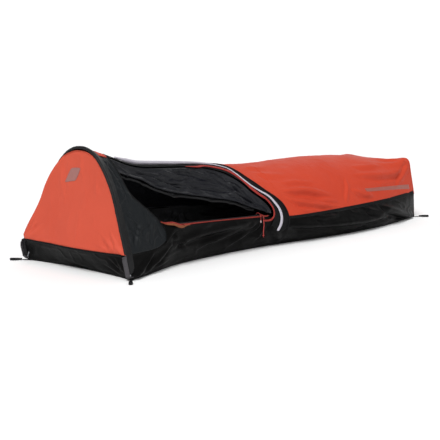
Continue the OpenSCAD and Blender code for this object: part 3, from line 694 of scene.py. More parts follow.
knot_a = np.linspace(0, 2 * math.pi, 72)
knot = np.stack([np.sin(knot_a) + 2 * np.sin(2 * knot_a), np.cos(knot_a) - 2 * np.cos(2 * knot_a), -np.sin(3 * knot_a) * 1.2], -1)
knot = knot[:, [0, 2, 1]] * np.array([1.05, 1.05, 1.05]) + PULL + np.array([0, 0, -87.2])
o = build("outer_knot", [sweep(P(knot[:-1]), (0.1, 1, 0.05), circle(0.0015, 10)), sweep(P([PULL + [0, 0, -89], PULL + [0.8, 0.3, -93], PULL + [1.2, 0.2, -96.5]]), (0, 1, 0), circle(0.0014, 10))], [M["cord"]])
knot_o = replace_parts(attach(o, "outer_pull"), "outer_pull_knot")
o, pts = cord_piece("outer_cord", PULL + CORD_OUT, 0.0020, [M["cord"]])
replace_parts(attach(o, "outer_pull"), "outer_pull_cord")

a = np.linspace(0, 1, 9)
prof = [(0.0008, 0.0), (0.0022, 0.0), (0.0026, 0.0006), (0.0027, 0.003), (0.0025, 0.0065), (0.0023, 0.009), (0.0018, 0.0099), (0.0011, 0.0101)]
ring = np.arange(20) * 2 * math.pi / 20
EC = P(MP + [-5.2, -32.2, -20.5])
pts_e = np.array([[[EC[0] + r * math.cos(t), EC[1] + r * math.sin(t), EC[2] + z] for t in ring] for r, z in prof])
pp, ff, uu, mm_ = grid_part(pts_e, close_v=True)
n_ = 20
o = build("mesh_cord_end", [(pp, ff + [list(range(n_))[::-1], list(range((len(prof) - 1) * n_, len(prof) * n_))], uu, 0)], [M["end"]])
end_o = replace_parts(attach(o, "mesh_slider"), "mesh_pull_end")
o, pts = cord_piece("mesh_cord", MP + CORD_IN, 0.0011, [M["cord"]])
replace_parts(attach(o, "mesh_slider"), "mesh_pull_cord")

# ---------------------------------------------------------------- cover
STEP = 6.0
# lines of the flap as it lies: its outer edge, the light piping, the inner edge and the red tape
BIND = fine(LINE_BIND[:7] + [[775, -0.02], [825, -0.055], [850, -0.13], [866, -0.25], [884, -0.38], [912, -0.49], [945, -0.60], [985, -0.70], [1011, -0.80], [1021, -0.92], [1018, -1.04], [1004, -1.12], [965, -1.18]], 14)
PIPE = fine(LINE_PIPE[:6] + [[670, -0.09], [745, -0.11], [790, -0.15], [822, -0.21], [836, -0.31], [850, -0.43], [872, -0.53], [905, -0.61], [940, -0.68], [960, -0.77], [974, -0.87], [974, -0.98], [966, -1.07], [952, -1.145]], 14)
INNER = fine([[110, -0.12], [190, -0.14], [280, -0.135], [390, -0.14], [490, -0.145], [570, -0.15], [640, -0.17], [700, -0.20], [745, -0.25], [785, -0.31], [812, -0.40], [838, -0.50], [858, -0.60], [890, -0.68], [920, -0.76], [934, -0.85], [934, -0.94], [925, -1.02], [915, -1.08], [905, -1.13]], 14)
REDC = fine([[110, -0.14], [190, -0.155], [280, -0.15], [390, -0.155], [490, -0.16], [570, -0.165], [640, -0.18], [690, -0.155], [748, -0.185], [798, -0.245], [824, -0.33], [844, -0.45], [860, -0.56], [884, -0.645], [914, -0.715], [930, -0.794], [936, -0.866], [930, -0.958], [912, -1.018], [882, -1.034], [858, -1.03]], 14)


def v_edge(s):
    """Door-side limit of the cover at a distance s: the hoop end, the flap's binding, then the seam."""
    b = BIND[: 14 * 16 + 1]
    inside = np.interp(s, b[:, 0], b[:, 1], left=0.03, right=-1.0)
    head = np.interp(s, [0, 80, 100, 112], [-0.12, -0.11, -0.06, 0.028])
    out = np.where(s < 112, head, inside)
    return np.where(s > 1021, -1.0, np.maximum(out, -1.0))


def cover_folds(Q, N, s, v):
    def at(*sv):
        return [P(skin(a, b)) for a, b in sv]
    h = np.zeros(Q.shape[:-1])
    # folds on the door side, where the slack of the cover gathers
    h += fold(Q, N, at((1030, -0.60), (1120, -0.63), (1210, -0.66), (1300, -0.73), (1400, -0.82)), 0.015, 0.014, 0.9, (0.35, 0.4), FLIP)
    h += fold(Q, N, at((1036, -0.70), (1120, -0.79), (1212, -0.86), (1330, -0.92), (1420, -0.955)), 0.013, 0.012, 0.8, (0.3, 0.45), FLIP)
    h += fold(Q, N, at((1560, -0.55), (1690, -0.60), (1791, -0.66), (1920, -0.70), (2088, -0.69)), 0.018, 0.013, 0.7, (0.4, 0.25), FLIP)
    h += fold(Q, N, at((1520, -0.74), (1600, -0.84), (1700, -0.93)), 0.016, 0.010, 0.8, (0.4, 0.3), FLIP)
    h += fold(Q, N, at((1545, -0.57), (1515, -0.72), (1470, -0.86), (1446, -0.96)), 0.010, 0.006, 0.5, (0.3, 0.3), FLIP)
    h += fold(Q, N, at((2105, -0.62), (1990, -0.52), (1880, -0.42), (1790, -0.36)), 0.020, 0.006, 0.6, (0.15, 0.6), FLIP)
    h += fold(Q, N, at((2100, -0.66), (2010, -0.78), (1900, -0.90)), 0.013, 0.009, 0.7, (0.15, 0.5), FLIP)
    h += fold(Q, N, at((960, -0.30), (1060, -0.36), (1190, -0.40)), 0.020, 0.006, 0.6, (0.3, 0.6), FLIP)
    h += fold(Q, N, at((940, -0.18), (1040, -0.20), (1150, -0.16)), 0.020, 0.005, 0.6, (0.3, 0.6), FLIP)
    for pts, w, hh in ((((1060, -0.50), (1180, -0.52), (1330, -0.60)), 0.012, 0.005), (((1250, -0.80), (1330, -0.84), (1420, -0.90)), 0.010, 0.005),
                       (((1640, -0.42), (1760, -0.46), (1900, -0.50)), 0.016, 0.006), (((1740, -0.76), (1860, -0.80), (1990, -0.82)), 0.012, 0.004),
                       (((2090, -0.45), (2000, -0.34), (1900, -0.22)), 0.014, 0.006), (((2100, -0.34), (2030, -0.26), (1970, -0.16)), 0.014, 0.004),
                       (((1100, -0.90), (1190, -0.93), (1290, -0.96)), 0.009, 0.005), (((2095, -0.58), (2040, -0.44), (1990, -0.30)), 0.012, 0.005)):
        h += fold(Q, N, at(*pts), w, hh, 0.7, (0.3, 0.4), FLIP)
    # the same sort of folds on the far side
    for m0, m1, hh, w in ((1150, 1500, 0.006, 0.018), (520, 900, 0.005, 0.02), (1650, 2060, 0.007, 0.02)):
        h += fold(Q, N, at((m0, 0.62), ((m0 + m1) / 2, 0.74), (m1, 0.86)), w, hh, 0.7, (0.35, 0.35), -FLIP)
    h += fold(Q, N, at((30, 0.55), (140, 0.70), (300, 0.86)), 0.016, 0.005, 0.7, (0.2, 0.5), -FLIP)
    h += fold(Q, N, at((30, 0.35), (180, 0.42), (360, 0.50)), 0.020, 0.004, 0.6, (0.2, 0.5), -FLIP)
    return h


FLIP = -1
s_lines = np.unique(np.concatenate([np.arange(0, 860, STEP), np.arange(860, 1030, STEP * 0.55), np.arange(1030, L, STEP), [100.0, 106.0, 112.0, 118.0, L]]))
nv = int(round(820 / STEP))
qq = np.linspace(0, 1, nv)
S_, Q_ = np.meshgrid(s_lines, qq, indexing="ij")
V0 = v_edge(s_lines)[:, None] - 0.07 * smooth((800 - s_lines) / 120.0)[:, None]
V_ = V0 + (1 - V0) * Q_
C0 = P(skin(S_, V_))
# the head edge of the cover is sewn into the sleeve, along the hoop
N0 = skin_n(np.clip(S_, 5, L - 5), np.clip(V_, -0.98, 0.98))
low = fbm(C0 * 5.5, 3, 3) * 0.0032 + fbm(C0 * np.array([7.0, 16.0, 16.0]), 11, 2) * 0.0016
fine_c = (ridged(C0 * np.array([16.0, 26.0, 26.0]) + fbm(C0 * 9, 5, 2)[..., None] * 1.2, 21, 2.5) - 0.35) * 0.0011
H = low + fine_c + cover_folds(C0, N0, S_, V_)
edge = smooth((S_ - 0) / 60.0) * smooth((L - S_) / 25.0) * smooth((V_ - V0) / 0.035) * smooth((1 - V_) / 0.05)
edge = np.where(V0 > -0.999, smooth((S_ - 0) / 60.0) * smooth((L - S_) / 25.0) * (0.35 + 0.65 * smooth((V_ - V0) / 0.10)) * smooth((1 - V_) / 0.05), edge)
C1_ = C0 + N0 * (H * edge)[..., None]
UVc = np.stack([S_ * MM, arc_v(S_, V_)], -1)
cover = cloth("cover", C1_, [M["orange"], M["lining"]], UVc, 0.0008, 0.0, 1, flip=True)
hoop_blend(cover, "cover")
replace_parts(cover, "cover_body", "cover_head")

# ---------------------------------------------------------------- foot panel
vv = np.linspace(-1, 1, 110)
bb = np.linspace(0, 1, 34)
V_, B_ = np.meshgrid(vv, bb, indexing="ij")
base = warp(L, V_ * 240, 124.0)
top = cov(L, V_)
F0 = P(base * (1 - B_[..., None]) + top * B_[..., None])
NF = np.broadcast_to(np.array([0.99, 0, 0.13]), F0.shape)
inn = smooth((1 - np.abs(V_)) / 0.15) * smooth(B_ / 0.15) * smooth((1 - B_) / 0.15)
hf = (0.010 * (1 - V_**2) * 4 * B_ * (1 - B_) + fbm(F0 * 7, 31, 3) * 0.006 + (ridged(F0 * np.array([14.0, 11.0, 20.0]), 41, 2.2) - 0.3) * 0.004) * inn
F1 = F0 + NF * hf[..., None]
o = cloth("foot_end", F1, [M["orange"], M["lining"]], None, 0.0008, 0.0, 1, flip=True)
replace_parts(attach(o, "tub"), "foot_panel")

# ---------------------------------------------------------------- head panel
PANEL_A, PANEL_D = [-88, -50, 0, 25, 45, 65, 88], [2.0, 5.0, 13.0, 10.0, 1.0, -7.0, -9.0]
aa = np.linspace(-1, 1, 150)
bb = np.linspace(0, 1, 84)
A_, B_ = np.meshgrid(aa, bb, indexing="ij")
low_edge = head_seam_p(A_)
low_edge[..., 1] = A_ * (278 + 14 * np.abs(A_) ** 6)
HP0 = P(low_edge * (1 - B_[..., None]) + hoop3(A_ * 88.5, np.interp(A_ * 90, PANEL_A, PANEL_D), -3.0 - 9.0 * smooth((A_ * 90 - 35) / 25.0)) * B_[..., None])
NH = normals(HP0)
if NH[75, 40, 0] > 0:
    NH = -NH
inn = smooth((1 - np.abs(A_)) / 0.08) * smooth(B_ / 0.06) * smooth((1 - B_) / 0.08)
hh = -0.010 * 4 * B_ * (1 - B_) * (1 - A_**2) + fbm(HP0 * 6, 51, 3) * 0.003
hh = hh + (ridged(HP0 * np.array([10.0, 22.0, 14.0]), 61, 3.0) - 0.3) * 0.0009


def hp(a, b):
    i, j = int(round((a + 1) / 2 * 149)), int(round(b * 83))
    return HP0[i, j]


for pts, w, h_ in (([hp(-0.99, 0.03), hp(-0.80, 0.12), hp(-0.55, 0.24)], 0.012, 0.0060), ([hp(-0.99, 0.05), hp(-0.86, 0.22), hp(-0.70, 0.42)], 0.010, 0.0052),
                   ([hp(-0.97, 0.02), hp(-0.70, 0.05), hp(-0.40, 0.10)], 0.010, 0.003), ([hp(0.99, 0.03), hp(0.82, 0.14), hp(0.62, 0.28)], 0.014, 0.007),
                   ([hp(0.0, 0.97), hp(-0.05, 0.80), hp(-0.12, 0.62)], 0.012, 0.002), ([hp(0.98, 0.10), hp(0.88, 0.36), hp(0.80, 0.55)], 0.012, 0.006), ([hp(-0.6, 0.93), hp(-0.5, 0.75), hp(-0.45, 0.5)], 0.012, 0.0025), ([hp(0.5, 0.9), hp(0.45, 0.7), hp(0.30, 0.45)], 0.014, 0.003)):
    hh = hh + fold(HP0, NH, pts, w, h_, 0.6, (0.15, 0.6))
HP1 = HP0 + NH * (hh * inn)[..., None]
# the head panel wears the lighter copy of the shell orange: painted light on the head end
o = cloth("head_end", HP1, [M["head_orange_lit"], M["lining"]], None, 0.0008, 0.0, 1, flip=False)
head_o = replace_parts(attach(o, "hoop"), "head_panel")

# ---------------------------------------------------------------- tub walls
def skin2(s, v):
    """The whole outside of the shell: the cover, and either side wall past its seam."""
    s, v = np.broadcast_arrays(np.asarray(s, float), np.asarray(v, float))
    c = cov(s, np.clip(v, -1, 1))
    w = 1 - (np.abs(v) - 1) * 3
    out = np.where((v < -1)[..., None], tub(s, w, -1), c)
    return np.where((v > 1)[..., None], tub(s, w, 1), out)


def wall_top_v(s):
    """How far up the skin the door-side wall reaches beside the gusset."""
    return np.interp(s, [228, 267, 330, 354], [-0.826, -0.882, -0.978, -1.0])


def wall_folds(Q, N, side, s, w):
    def at(*sw):
        return [P(tub(a, b, side)) for a, b in sw]
    f = FLIP * side                                  # +1 on the near side: the valley lies below the crest
    h = np.zeros(Q.shape[:-1])
    # pull from the head corner
    h += fold(Q, N, at((8, 0.03), (81, 0.34), (138, 0.73), (170, 0.92)), 0.011, 0.0060, 0.8, (0.08, 0.35), -f)
    h += fold(Q, N, at((12, 0.02), (90, 0.19), (160, 0.40), (234, 0.61), (300, 0.72)), 0.013, 0.0060, 0.8, (0.08, 0.45), -f)
    h += fold(Q, N, at((20, 0.01), (150, 0.14), (300, 0.26)), 0.010, 0.004, 0.7, (0.1, 0.5), -f)
    # folds that run down from the zip's end
    h += fold(Q, N, at((830, 0.90), (780, 0.79), (650, 0.60), (522, 0.43), (430, 0.22)), 0.018, 0.0085, 0.85, (0.12, 0.45), f)
    h += fold(Q, N, at((800, 0.96), (720, 0.88), (600, 0.78), (456, 0.70), (345, 0.60), (262, 0.52)), 0.017, 0.0075, 0.8, (0.12, 0.3), f)
    h += fold(Q, N, at((850, 0.82), (790, 0.60), (720, 0.40), (660, 0.18)), 0.014, 0.0055, 0.8, (0.12, 0.4), f)
    h += fold(Q, N, at((880, 0.80), (860, 0.52), (835, 0.22)), 0.013, 0.0045, 0.8, (0.12, 0.4), f)
    h += fold(Q, N, at((900, 0.70), (960, 0.42), (1010, 0.16)), 0.015, 0.005, 0.7, (0.15, 0.4), -f)
    h += fold(Q, N, at((280, 0.86), (350, 0.62), (400, 0.34)), 0.013, 0.005, 0.8, (0.15, 0.4), -f)
    # the long crease along the foot end, and the diagonal tuck at its corner
    h += fold(Q, N, at((1000, 0.74), (1150, 0.62), (1383, 0.50), (1572, 0.44), (1700, 0.45), (1850, 0.40)), 0.017, 0.0085, 0.9, (0.12, 0.25), -f)
    h += fold(Q, N, at((1690, 0.90), (1760, 0.70), (1860, 0.48), (1980, 0.22), (2094, 0.03)), 0.017, 0.0095, 0.95, (0.2, 0.12), -f)
    h += fold(Q, N, at((1560, 0.92), (1640, 0.72), (1760, 0.52)), 0.015, 0.005, 0.8, (0.25, 0.4), -f)
    h += fold(Q, N, at((1180, 0.94), (1260, 0.84), (1380, 0.80)), 0.014, 0.0045, 0.8, (0.25, 0.4), -f)
    h += fold(Q, N, at((1300, 0.30), (1480, 0.20), (1640, 0.24)), 0.014, 0.005, 0.8, (0.3, 0.4), -f)
    return h


sw = np.unique(np.concatenate([np.arange(0, 320, 6.0), np.arange(320, L, STEP + 1), [L]]))
ww = np.linspace(0, 1, 34)
S_, W_ = np.meshgrid(sw, ww, indexing="ij")
tub_obj = {}
for side, nm in ((-1, "near"), (1, "far")):
    T0 = P(tub(S_, W_, side))
    NT = normals(T0)
    if NT[60, 15, 1] * side < 0:
        NT = -NT
    h = fbm(T0 * 6, 71 if side < 0 else 77, 3) * 0.0045 + (ridged(T0 * np.array([9.0, 20.0, 26.0]) + fbm(T0 * 6, 5, 2)[..., None] * 0.6, 81 + side, 2.6) - 0.33) * 0.0030
    h = h + (ridged(T0 * np.array([26.0, 40.0, 48.0]) + fbm(T0 * 14, 9, 2)[..., None] * 0.6, 91 + side, 2.4) - 0.33) * 0.0006
    h = h + 2.0 * wall_folds(T0, NT, side, S_, W_)
    inn = smooth(W_ / 0.10) * smooth((1 - W_) / 0.07) * smooth(S_ / 25.0) * smooth((L - S_) / 25.0)
    T1 = T0 + NT * (h * inn)[..., None]
    T1[..., 2] = np.maximum(T1[..., 2], 0.0012)
    uv = np.stack([S_ * MM, W_ * 0.13], -1)
    parts = [grid_part(T1, uv, 0, side < 0)]
    if side < 0:
        # the wall rises in front of the gusset's foot, up to where the zip starts
        hq, qq2 = np.meshgrid(np.linspace(0, 1, 24), np.linspace(0, 1, 30), indexing="ij")
        sl = np.interp(hq, [0, 0.4, 0.75, 1], [238, 246, 246, 228])
        se = sl * (1 - qq2) + 354 * qq2
        ve = -1.03 + (wall_top_v(se) + 1.03) * hq
        E0 = P(skin2(se, ve))
        NE = normals(E0)
        NE = np.where(NE[..., 1:2] > 0, -NE, NE)
        he = 0.0024 + fbm(E0 * 20, 73, 3) * 0.0016 * smooth(hq / 0.2)
        E1 = E0 + NE * he[..., None]
        parts.append(grid_part(E1, None, 0, False))
    o = solidify(build("tub_" + nm, parts, [M["tub"], M["floor_in"]]), 0.0008, 0.0, 1)
    hoop_blend(o, "corner")
    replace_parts(o, "tub_wall_" + nm, "tub_corner_" + nm)
    tub_obj[nm] = T1

# head wall: joins the two side walls at the corners
aa = np.linspace(-1, 1, 120)
bb = np.linspace(0, 1, 24)
A_, B_ = np.meshgrid(aa, bb, indexing="ij")
side_edge = tub(0 * A_, B_, np.sign(A_ + 1e-9))
e_ = smooth((np.abs(A_) - 0.93) / 0.07)[..., None]
hs = head_seam_p(A_)
hs[..., 1] = A_ * (278 + 14 * np.abs(A_) ** 6)
HW0 = head_floor(A_) * (1 - B_[..., None]) + hs * B_[..., None]
HW0 = P(HW0 * (1 - e_) + side_edge * e_)
NW = normals(HW0)
if NW[60, 10, 0] > 0:
    NW = -NW


def hw(a, b):
    return HW0[int(round((a + 1) / 2 * 119)), int(round(b * 23))]


h = fbm(HW0 * 9, 101, 3) * 0.003 + (ridged(HW0 * np.array([16.0, 18.0, 34.0]), 103, 2.2) - 0.33) * 0.0022
for pts, w, h_ in (([hw(-0.98, 0.06), hw(-0.86, 0.40), hw(-0.68, 0.92)], 0.010, 0.0055), ([hw(-0.97, 0.08), hw(-0.90, 0.48), hw(-0.82, 0.95)], 0.008, 0.0045),
                   ([hw(-0.97, 0.03), hw(-0.80, 0.22), hw(-0.50, 0.50)], 0.012, 0.005), ([hw(0.98, 0.06), hw(0.84, 0.42), hw(0.66, 0.90)], 0.012, 0.005),
                   ([hw(-0.3, 0.1), hw(0.1, 0.3), hw(0.4, 0.2)], 0.016, 0.003)):
    h = h + fold(HW0, NW, pts, w, h_, 0.8, (0.1, 0.4), 1)
inn = smooth((1 - np.abs(A_)) / 0.04) * smooth(B_ / 0.1) * smooth((1 - B_) / 0.08)
HW1 = HW0 + NW * (h * inn)[..., None]
o = cloth("tub_head", HW1, [M["tub"], M["floor_in"]], None, 0.0008, 0.0, 1, flip=False)
hoop_blend(o, "head")
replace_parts(o, "tub_wall_head")

# foot wall
vv = np.linspace(-1, 1, 90)
V_, B_ = np.meshgrid(vv, np.linspace(0, 1, 24), indexing="ij")
FW0 = P(warp(L, V_ * (236 + 4 * B_), 2.2 + B_ * 121.8))
h = (fbm(FW0 * 7, 111, 3) * 0.006 + (ridged(FW0 * np.array([10.0, 9.0, 16.0]), 113, 2.4) - 0.33) * 0.004) * smooth((1 - np.abs(V_)) / 0.08) * smooth(B_ / 0.1) * smooth((1 - B_) / 0.1)
FW1 = FW0 + np.array([1.0, 0, 0]) * h[..., None]
o = cloth("tub_foot", FW1, [M["tub"], M["floor_in"]], None, 0.0008, 0.0, 1, flip=True)
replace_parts(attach(o, "tub"), "tub_wall_foot")

# floor
ss = np.linspace(0, L, 300)
tt = np.linspace(-1, 1, 70)
S_, T_ = np.meshgrid(ss, tt, indexing="ij")
yf = spl(FLOOR_Y, S_) * T_
xs = S_ + (10 + 30 * (1 - T_**2)) * np.clip(1 - S_ / 240.0, 0, 1) ** 1.5 * 0.9
G0 = np.stack([xs - OX, yf, 0 * yf + 1.6], -1) * MM
h = np.maximum(0, fbm(G0 * 6, 121, 3) * 0.0035 + 0.0008) + np.maximum(0, ridged(G0 * np.array([8.0, 12.0, 1.0]), 123, 3) - 0.4) * 0.0035
G0[..., 2] += h * smooth((1 - np.abs(T_)) / 0.08) * smooth(S_ / 60) * smooth((L - S_) / 40)
o = cloth("floor", G0, [M["tub"], M["floor_in"]], None, 0.001, 0.0, 1, flip=False)
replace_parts(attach(o, "tub"), "floor_sheet")

# ---------------------------------------------------------------- gussets behind the hoop
def gusset(name, side, s_of_v, v_lo, v_hi, off, seed, nv_, ns_):
    v = np.linspace(v_lo, v_hi, nv_)
    q = np.linspace(0, 1, ns_)
    V_, Q2 = np.meshgrid(v, q, indexing="ij")
    s1 = s_of_v(v)[:, None]
    S2 = 4 + (s1 - 4) * Q2
    G = P(skin2(S2, V_))
    N = normals(G)
    if (N[nv_ // 2, ns_ // 2, 1] * side) < 0:
        N = -N
    h = fbm(G * 9, seed, 3) * 0.004 + (ridged(G * np.array([22.0, 20.0, 22.0]) + fbm(G * 12, 4, 2)[..., None] * 1.3, seed + 1, 2.4) - 0.33) * 0.0042
    h = h + (ridged(G * np.array([44.0, 44.0, 44.0]) + fbm(G * 22, 6, 2)[..., None] * 1.2, seed + 2, 2.0) - 0.33) * 0.0014

    def at(*sv):
        return [P(skin2(a, b * side * -1)) for a, b in sv]
    if side < 0:
        for pts, w, h_ in ((((48, -0.74), (80, -0.82), (105, -0.90)), 0.009, 0.005), (((110, -0.90), (150, -0.86), (200, -0.83)), 0.009, 0.004),
                           (((60, -0.98), (90, -0.88), (130, -0.78)), 0.009, 0.0045), (((160, -0.98), (170, -0.88), (190, -0.80)), 0.009, 0.004),
                           (((40, -0.30), (60, -0.50), (74, -0.68)), 0.010, 0.004), (((235, -0.98), (225, -0.90), (212, -0.82)), 0.008, 0.0035),
                           (((62, -0.20), (75, -0.36), (84, -0.50)), 0.008, 0.003), (((44, -0.96), (40, -0.86), (44, -0.76)), 0.008, 0.005)):
            h = h + fold(G, N, at(*pts), w, h_, 0.8, (0.2, 0.35), 1)
    inn = smooth(Q2 / 0.12) * smooth((1 - Q2) / 0.10) * smooth((V_ - v_lo) / 0.03 if side < 0 else (v_hi - V_) / 0.03)
    return G + N * (h * inn + off)[..., None], V_, S2


G1, GV, GS = gusset("gusset_near", -1, lambda v: spl(GUSSET_EDGE, np.clip(v, -1, -0.1)), -1.0, -0.09, 0.0, 131, 110, 60)
o = cloth("gusset_door_side", G1, [M["gusset"], M["lining"]], None, 0.0008, 0.0, 1, flip=False)
hoop_blend(o, "cover")
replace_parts(o, "gusset_near")
hem_path = resample(G1[:, -1], 0.004)
hem_n = np.tile([0.0, -1.0, 0.3], (len(hem_path), 1))
o = build("gusset_hem", [sweep(hem_path, (0.2, -1, 0.3), flat_profile(0.007, 0.0026))], [M["binding"]])
hoop_blend(o, "cover")

G2, _, _ = gusset("gusset_far", 1, lambda v: spl(GUSSET_EDGE, -np.clip(v, 0.1, 1)), 0.08, 0.955, -0.0105, 141, 80, 40)
o = cloth("gusset_far_side", G2, [M["lining"], M["lining"]], None, 0.0007, 0.0, 0)
hoop_blend(o, "cover")
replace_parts(o, "gusset_far")

# ---------------------------------------------------------------- turned-back flap
KF = 12
d_line, f_line = fine(LINE_DARK, KF), fine(LINE_FOLD, KF)
r0 = skin(d_line[:, 0], d_line[:, 1]) - skin_n(d_line[:, 0], d_line[:, 1]) * 1.0
r1 = f_line - np.array([OX, 0, 0])
nl = unit(np.cross(np.array([1.0, 0, 0]), r0 - r1))
nl = np.where((r0[:, :1] + OX) > 906, unit(np.array([0, -1, 0.05])), nl)
ul = unit(r0 - r1)
wid = np.linalg.norm(r0 - r1, axis=1)
alongs = np.concatenate([[0], np.cumsum(np.linalg.norm(np.diff((r0 + r1) / 2, axis=0), axis=1))])
nb = 40
bl = np.linspace(0, 1, nb)
front = r0[:, None] * (1 - bl)[None, :, None] + r1[:, None] * bl[None, :, None] - nl[:, None] * (10 * np.sin(np.pi * bl))[None, :, None]
A2_, B2_ = np.meshgrid(alongs * MM, bl, indexing="ij")
W2_ = wid[:, None] * MM * B2_
warped = A2_ + 0.9 * W2_
q = np.stack([warped * 5.0, (W2_ - 0.12 * A2_) * 21.0 + 3, 0 * W2_ + 2.0], -1)
hfl = (ridged(q + fbm(q * 0.7, 3, 2)[..., None] * 0.5, 151, 1.6) - 0.4) * 6.0
q2 = np.stack([warped * 14.0, (W2_ - 0.2 * A2_) * 40.0, 0 * W2_ + 5.0], -1)
hfl = hfl + (ridged(q2 + fbm(q2 * 0.6, 5, 2)[..., None] * 0.6, 161, 1.8) - 0.35) * 3.6
FP, FN = P(front), np.broadcast_to(nl[:, None], front.shape)


def fl(*rb):
    return [FP[i, int(round(b * (nb - 1)))] for i, b in rb]


for pts, w, hh, vy in ((((72, 0.02), (82, 0.10), (94, 0.18), (106, 0.18), (117, 0.10)), 7.0, -9.0, 0.9), (((14, 0.49), (24, 0.49), (37, 0.62), (52, 0.77), (65, 0.77), (76, 0.77), (93, 0.85)), 6.5, -9.0, 0.9),
                       (((37, 0.15), (51, 0.31), (65, 0.36)), 7.0, 7.0, 0.8), (((32, 0.38), (47, 0.56), (65, 0.59)), 6.5, 7.0, 0.8), (((46, 0.03), (64, 0.15), (77, 0.28), (92, 0.36)), 7.5, 8.0, 0.8),
                       (((65, 0.59), (80, 0.62), (100, 0.59)), 6.5, 7.0, 0.8), (((100, 0.49), (117, 0.46), (139, 0.54)), 6.5, 6.5, 0.8), (((94, 0.72), (110, 0.79), (136, 0.79)), 5.5, 5.5, 0.8),
                       (((60, 0.46), (78, 0.44), (98, 0.48)), 5.5, 4.5, 0.8), (((20, 0.20), (34, 0.30), (46, 0.42)), 5.0, 4.5, 0.8), (((88, 0.10), (104, 0.30), (124, 0.34)), 6.0, 5.0, 0.8)):
    hfl = hfl + fold(FP, FN, fl(*pts), w * MM, hh, vy, (0.15, 0.3), -1)
tight = np.clip(wid / 70.0, 0.30, 1.0)[:, None]
hfl = 1.5 * np.clip(hfl, -11, 10) * smooth(B2_ / 0.10) * (0.35 + 0.65 * smooth((1 - B2_) / 0.10)) * tight
front = front + nl[:, None] * hfl[..., None]
# the fold rolls under and runs back up inside
rolls, R_F = [], 4.0
end = front[:, -1]
for ang in np.linspace(0, math.pi, 9)[1:]:
    rolls.append(end - nl * (R_F * (1 - math.cos(ang))) - ul * (R_F * math.sin(ang)))
roll = np.stack(rolls, 1)
bk = np.linspace(0, 1, 12)[1:]
back = roll[:, -1][:, None] + (r0 - nl * 10 - roll[:, -1])[:, None] * (bk * 0.86)[None, :, None] - nl[:, None] * (10 * np.sin(np.pi * bk * 0.9))[None, :, None]
FL = P(np.concatenate([front, roll, back], 1))
o = cloth("door_flap", FL, [M["flap"], M["flap"]], None, 0.0008, 0.0, 0, flip=False)
hoop_blend(o, "cover")
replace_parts(o, "cover_flap")


def skin_strip(name, la, lb, n, off, mats, t, wav=0.0, seed=0, flip=False, v_lift=None):
    q = np.linspace(0, 1, n)
    line = la[:, None, :] * (1 - q)[None, :, None] + lb[:, None, :] * q[None, :, None]
    pts, nn = skin(line[..., 0], line[..., 1]), skin_n(line[..., 0], line[..., 1])
    o_ = np.full(pts.shape[:2], float(off))
    if v_lift is not None:
        o_ = o_ + v_lift(line[..., 0], q[None, :])
    if wav:
        o_ = o_ + fbm(P(pts) * 30, seed, 2) * wav
    pts = P(pts + nn * o_[..., None])
    return cloth(name, pts, mats, None, t, 0.0, 0, flip)


o = skin_strip("storm_flap_cloth", INNER, BIND, 14, 2.4, [M["binding"]], 0.0010, 1.6, 173, v_lift=lambda s, qv: 1.2 * np.sin(np.pi * qv) ** 2)
hoop_blend(o, "cover")
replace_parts(o, "storm_flap")


def skin_path(line, off):
    return P(skin(line[:, 0], line[:, 1]) + skin_n(line[:, 0], line[:, 1]) * off), skin_n(line[:, 0], line[:, 1])


def ribbon_on_skin(name, line, off, width, t, mats, n_side=4, round_ends=False):
    pts, nn = skin_path(line, off)
    T, _, _ = frames(pts, (0, 0, 1))
    S = unit(np.cross(T, nn))
    U = np.cross(S, T)
    k = width if hasattr(width, "__len__") else np.full(len(pts), width)
    run = np.concatenate([[0], np.cumsum(np.linalg.norm(np.diff(pts, axis=0), axis=1))])
    if round_ends:
        e = np.minimum(run, run[-1] - run)
        k = k * np.sqrt(np.clip(1 - np.clip(1 - e / (k * 0.5), 0, 1) ** 2, 0.02, 1))
    prof = flat_profile(1.0, 1.0, 6)
    x, z = prof[:, 0], prof[:, 1]
    R = pts[:, None] + S[:, None] * (np.sign(x) * np.abs(x) * 2 * 0.5)[None, :, None] * k[:, None, None] + U[:, None] * z[None, :, None] * (t if not hasattr(t, "__len__") else np.asarray(t)[:, None, None]) * (1 - 0.35 * (2 * x[None, :, None]) ** 2)
    n = len(prof)
    pp, ff, _, _ = grid_part(R, np.zeros(R.shape[:2] + (2,)), 0, close_v=True)
    ff = [f[::-1] for f in ff] + [list(range(n)), list(range((len(pts) - 1) * n, len(pts) * n))[::-1]]
    uv = np.stack([np.repeat(run[:, None], n, 1), x[None, :] * k[:, None]], -1)
    return build(name, [(pp, ff, uv, 0)], mats)


def along(line, stations, values):
    """A value at each point of a line, from values at some of its stations."""
    return np.interp(np.arange(len(line)) / 14.0, stations, values)


k_pipe = along(PIPE, [0, 5, 8, 10, 13, 15, 19], [0.010, 0.010, 0.0085, 0.0080, 0.0110, 0.0150, 0.0160])
t_pipe = along(PIPE, [0, 0.8, 1.6, 4.6, 6.2, 8, 10, 19], [0.003, 0.007, 0.0165, 0.0150, 0.0100, 0.0050, 0.0034, 0.0030])
o = ribbon_on_skin("reflective_piping", PIPE[11:], 4.4 + t_pipe[11:, None] * 450, k_pipe[11:], t_pipe[11:], [M["reflect"]], round_ends=True)
hoop_blend(o, "cover")
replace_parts(o, "storm_piping")
k_red = along(REDC, [0, 5, 6, 8, 10, 12, 14, 16, 20], [0.004, 0.006, 0.015, 0.0230, 0.0240, 0.0200, 0.0130, 0.0095, 0.0085])
o = ribbon_on_skin("flap_tape", REDC[14 * 5 :], 5.0, k_red[14 * 5 :], 0.0018, [M["red"]], round_ends=True)
hoop_blend(o, "cover")
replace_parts(o, "flap_zip_tape")
bl_ = BIND[: 14 * 18]
o = ribbon_on_skin("flap_edge_binding", bl_, 4.6, 0.0075, 0.0034, [M["binding"]], round_ends=True)
hoop_blend(o, "cover")
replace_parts(o, "flap_binding")


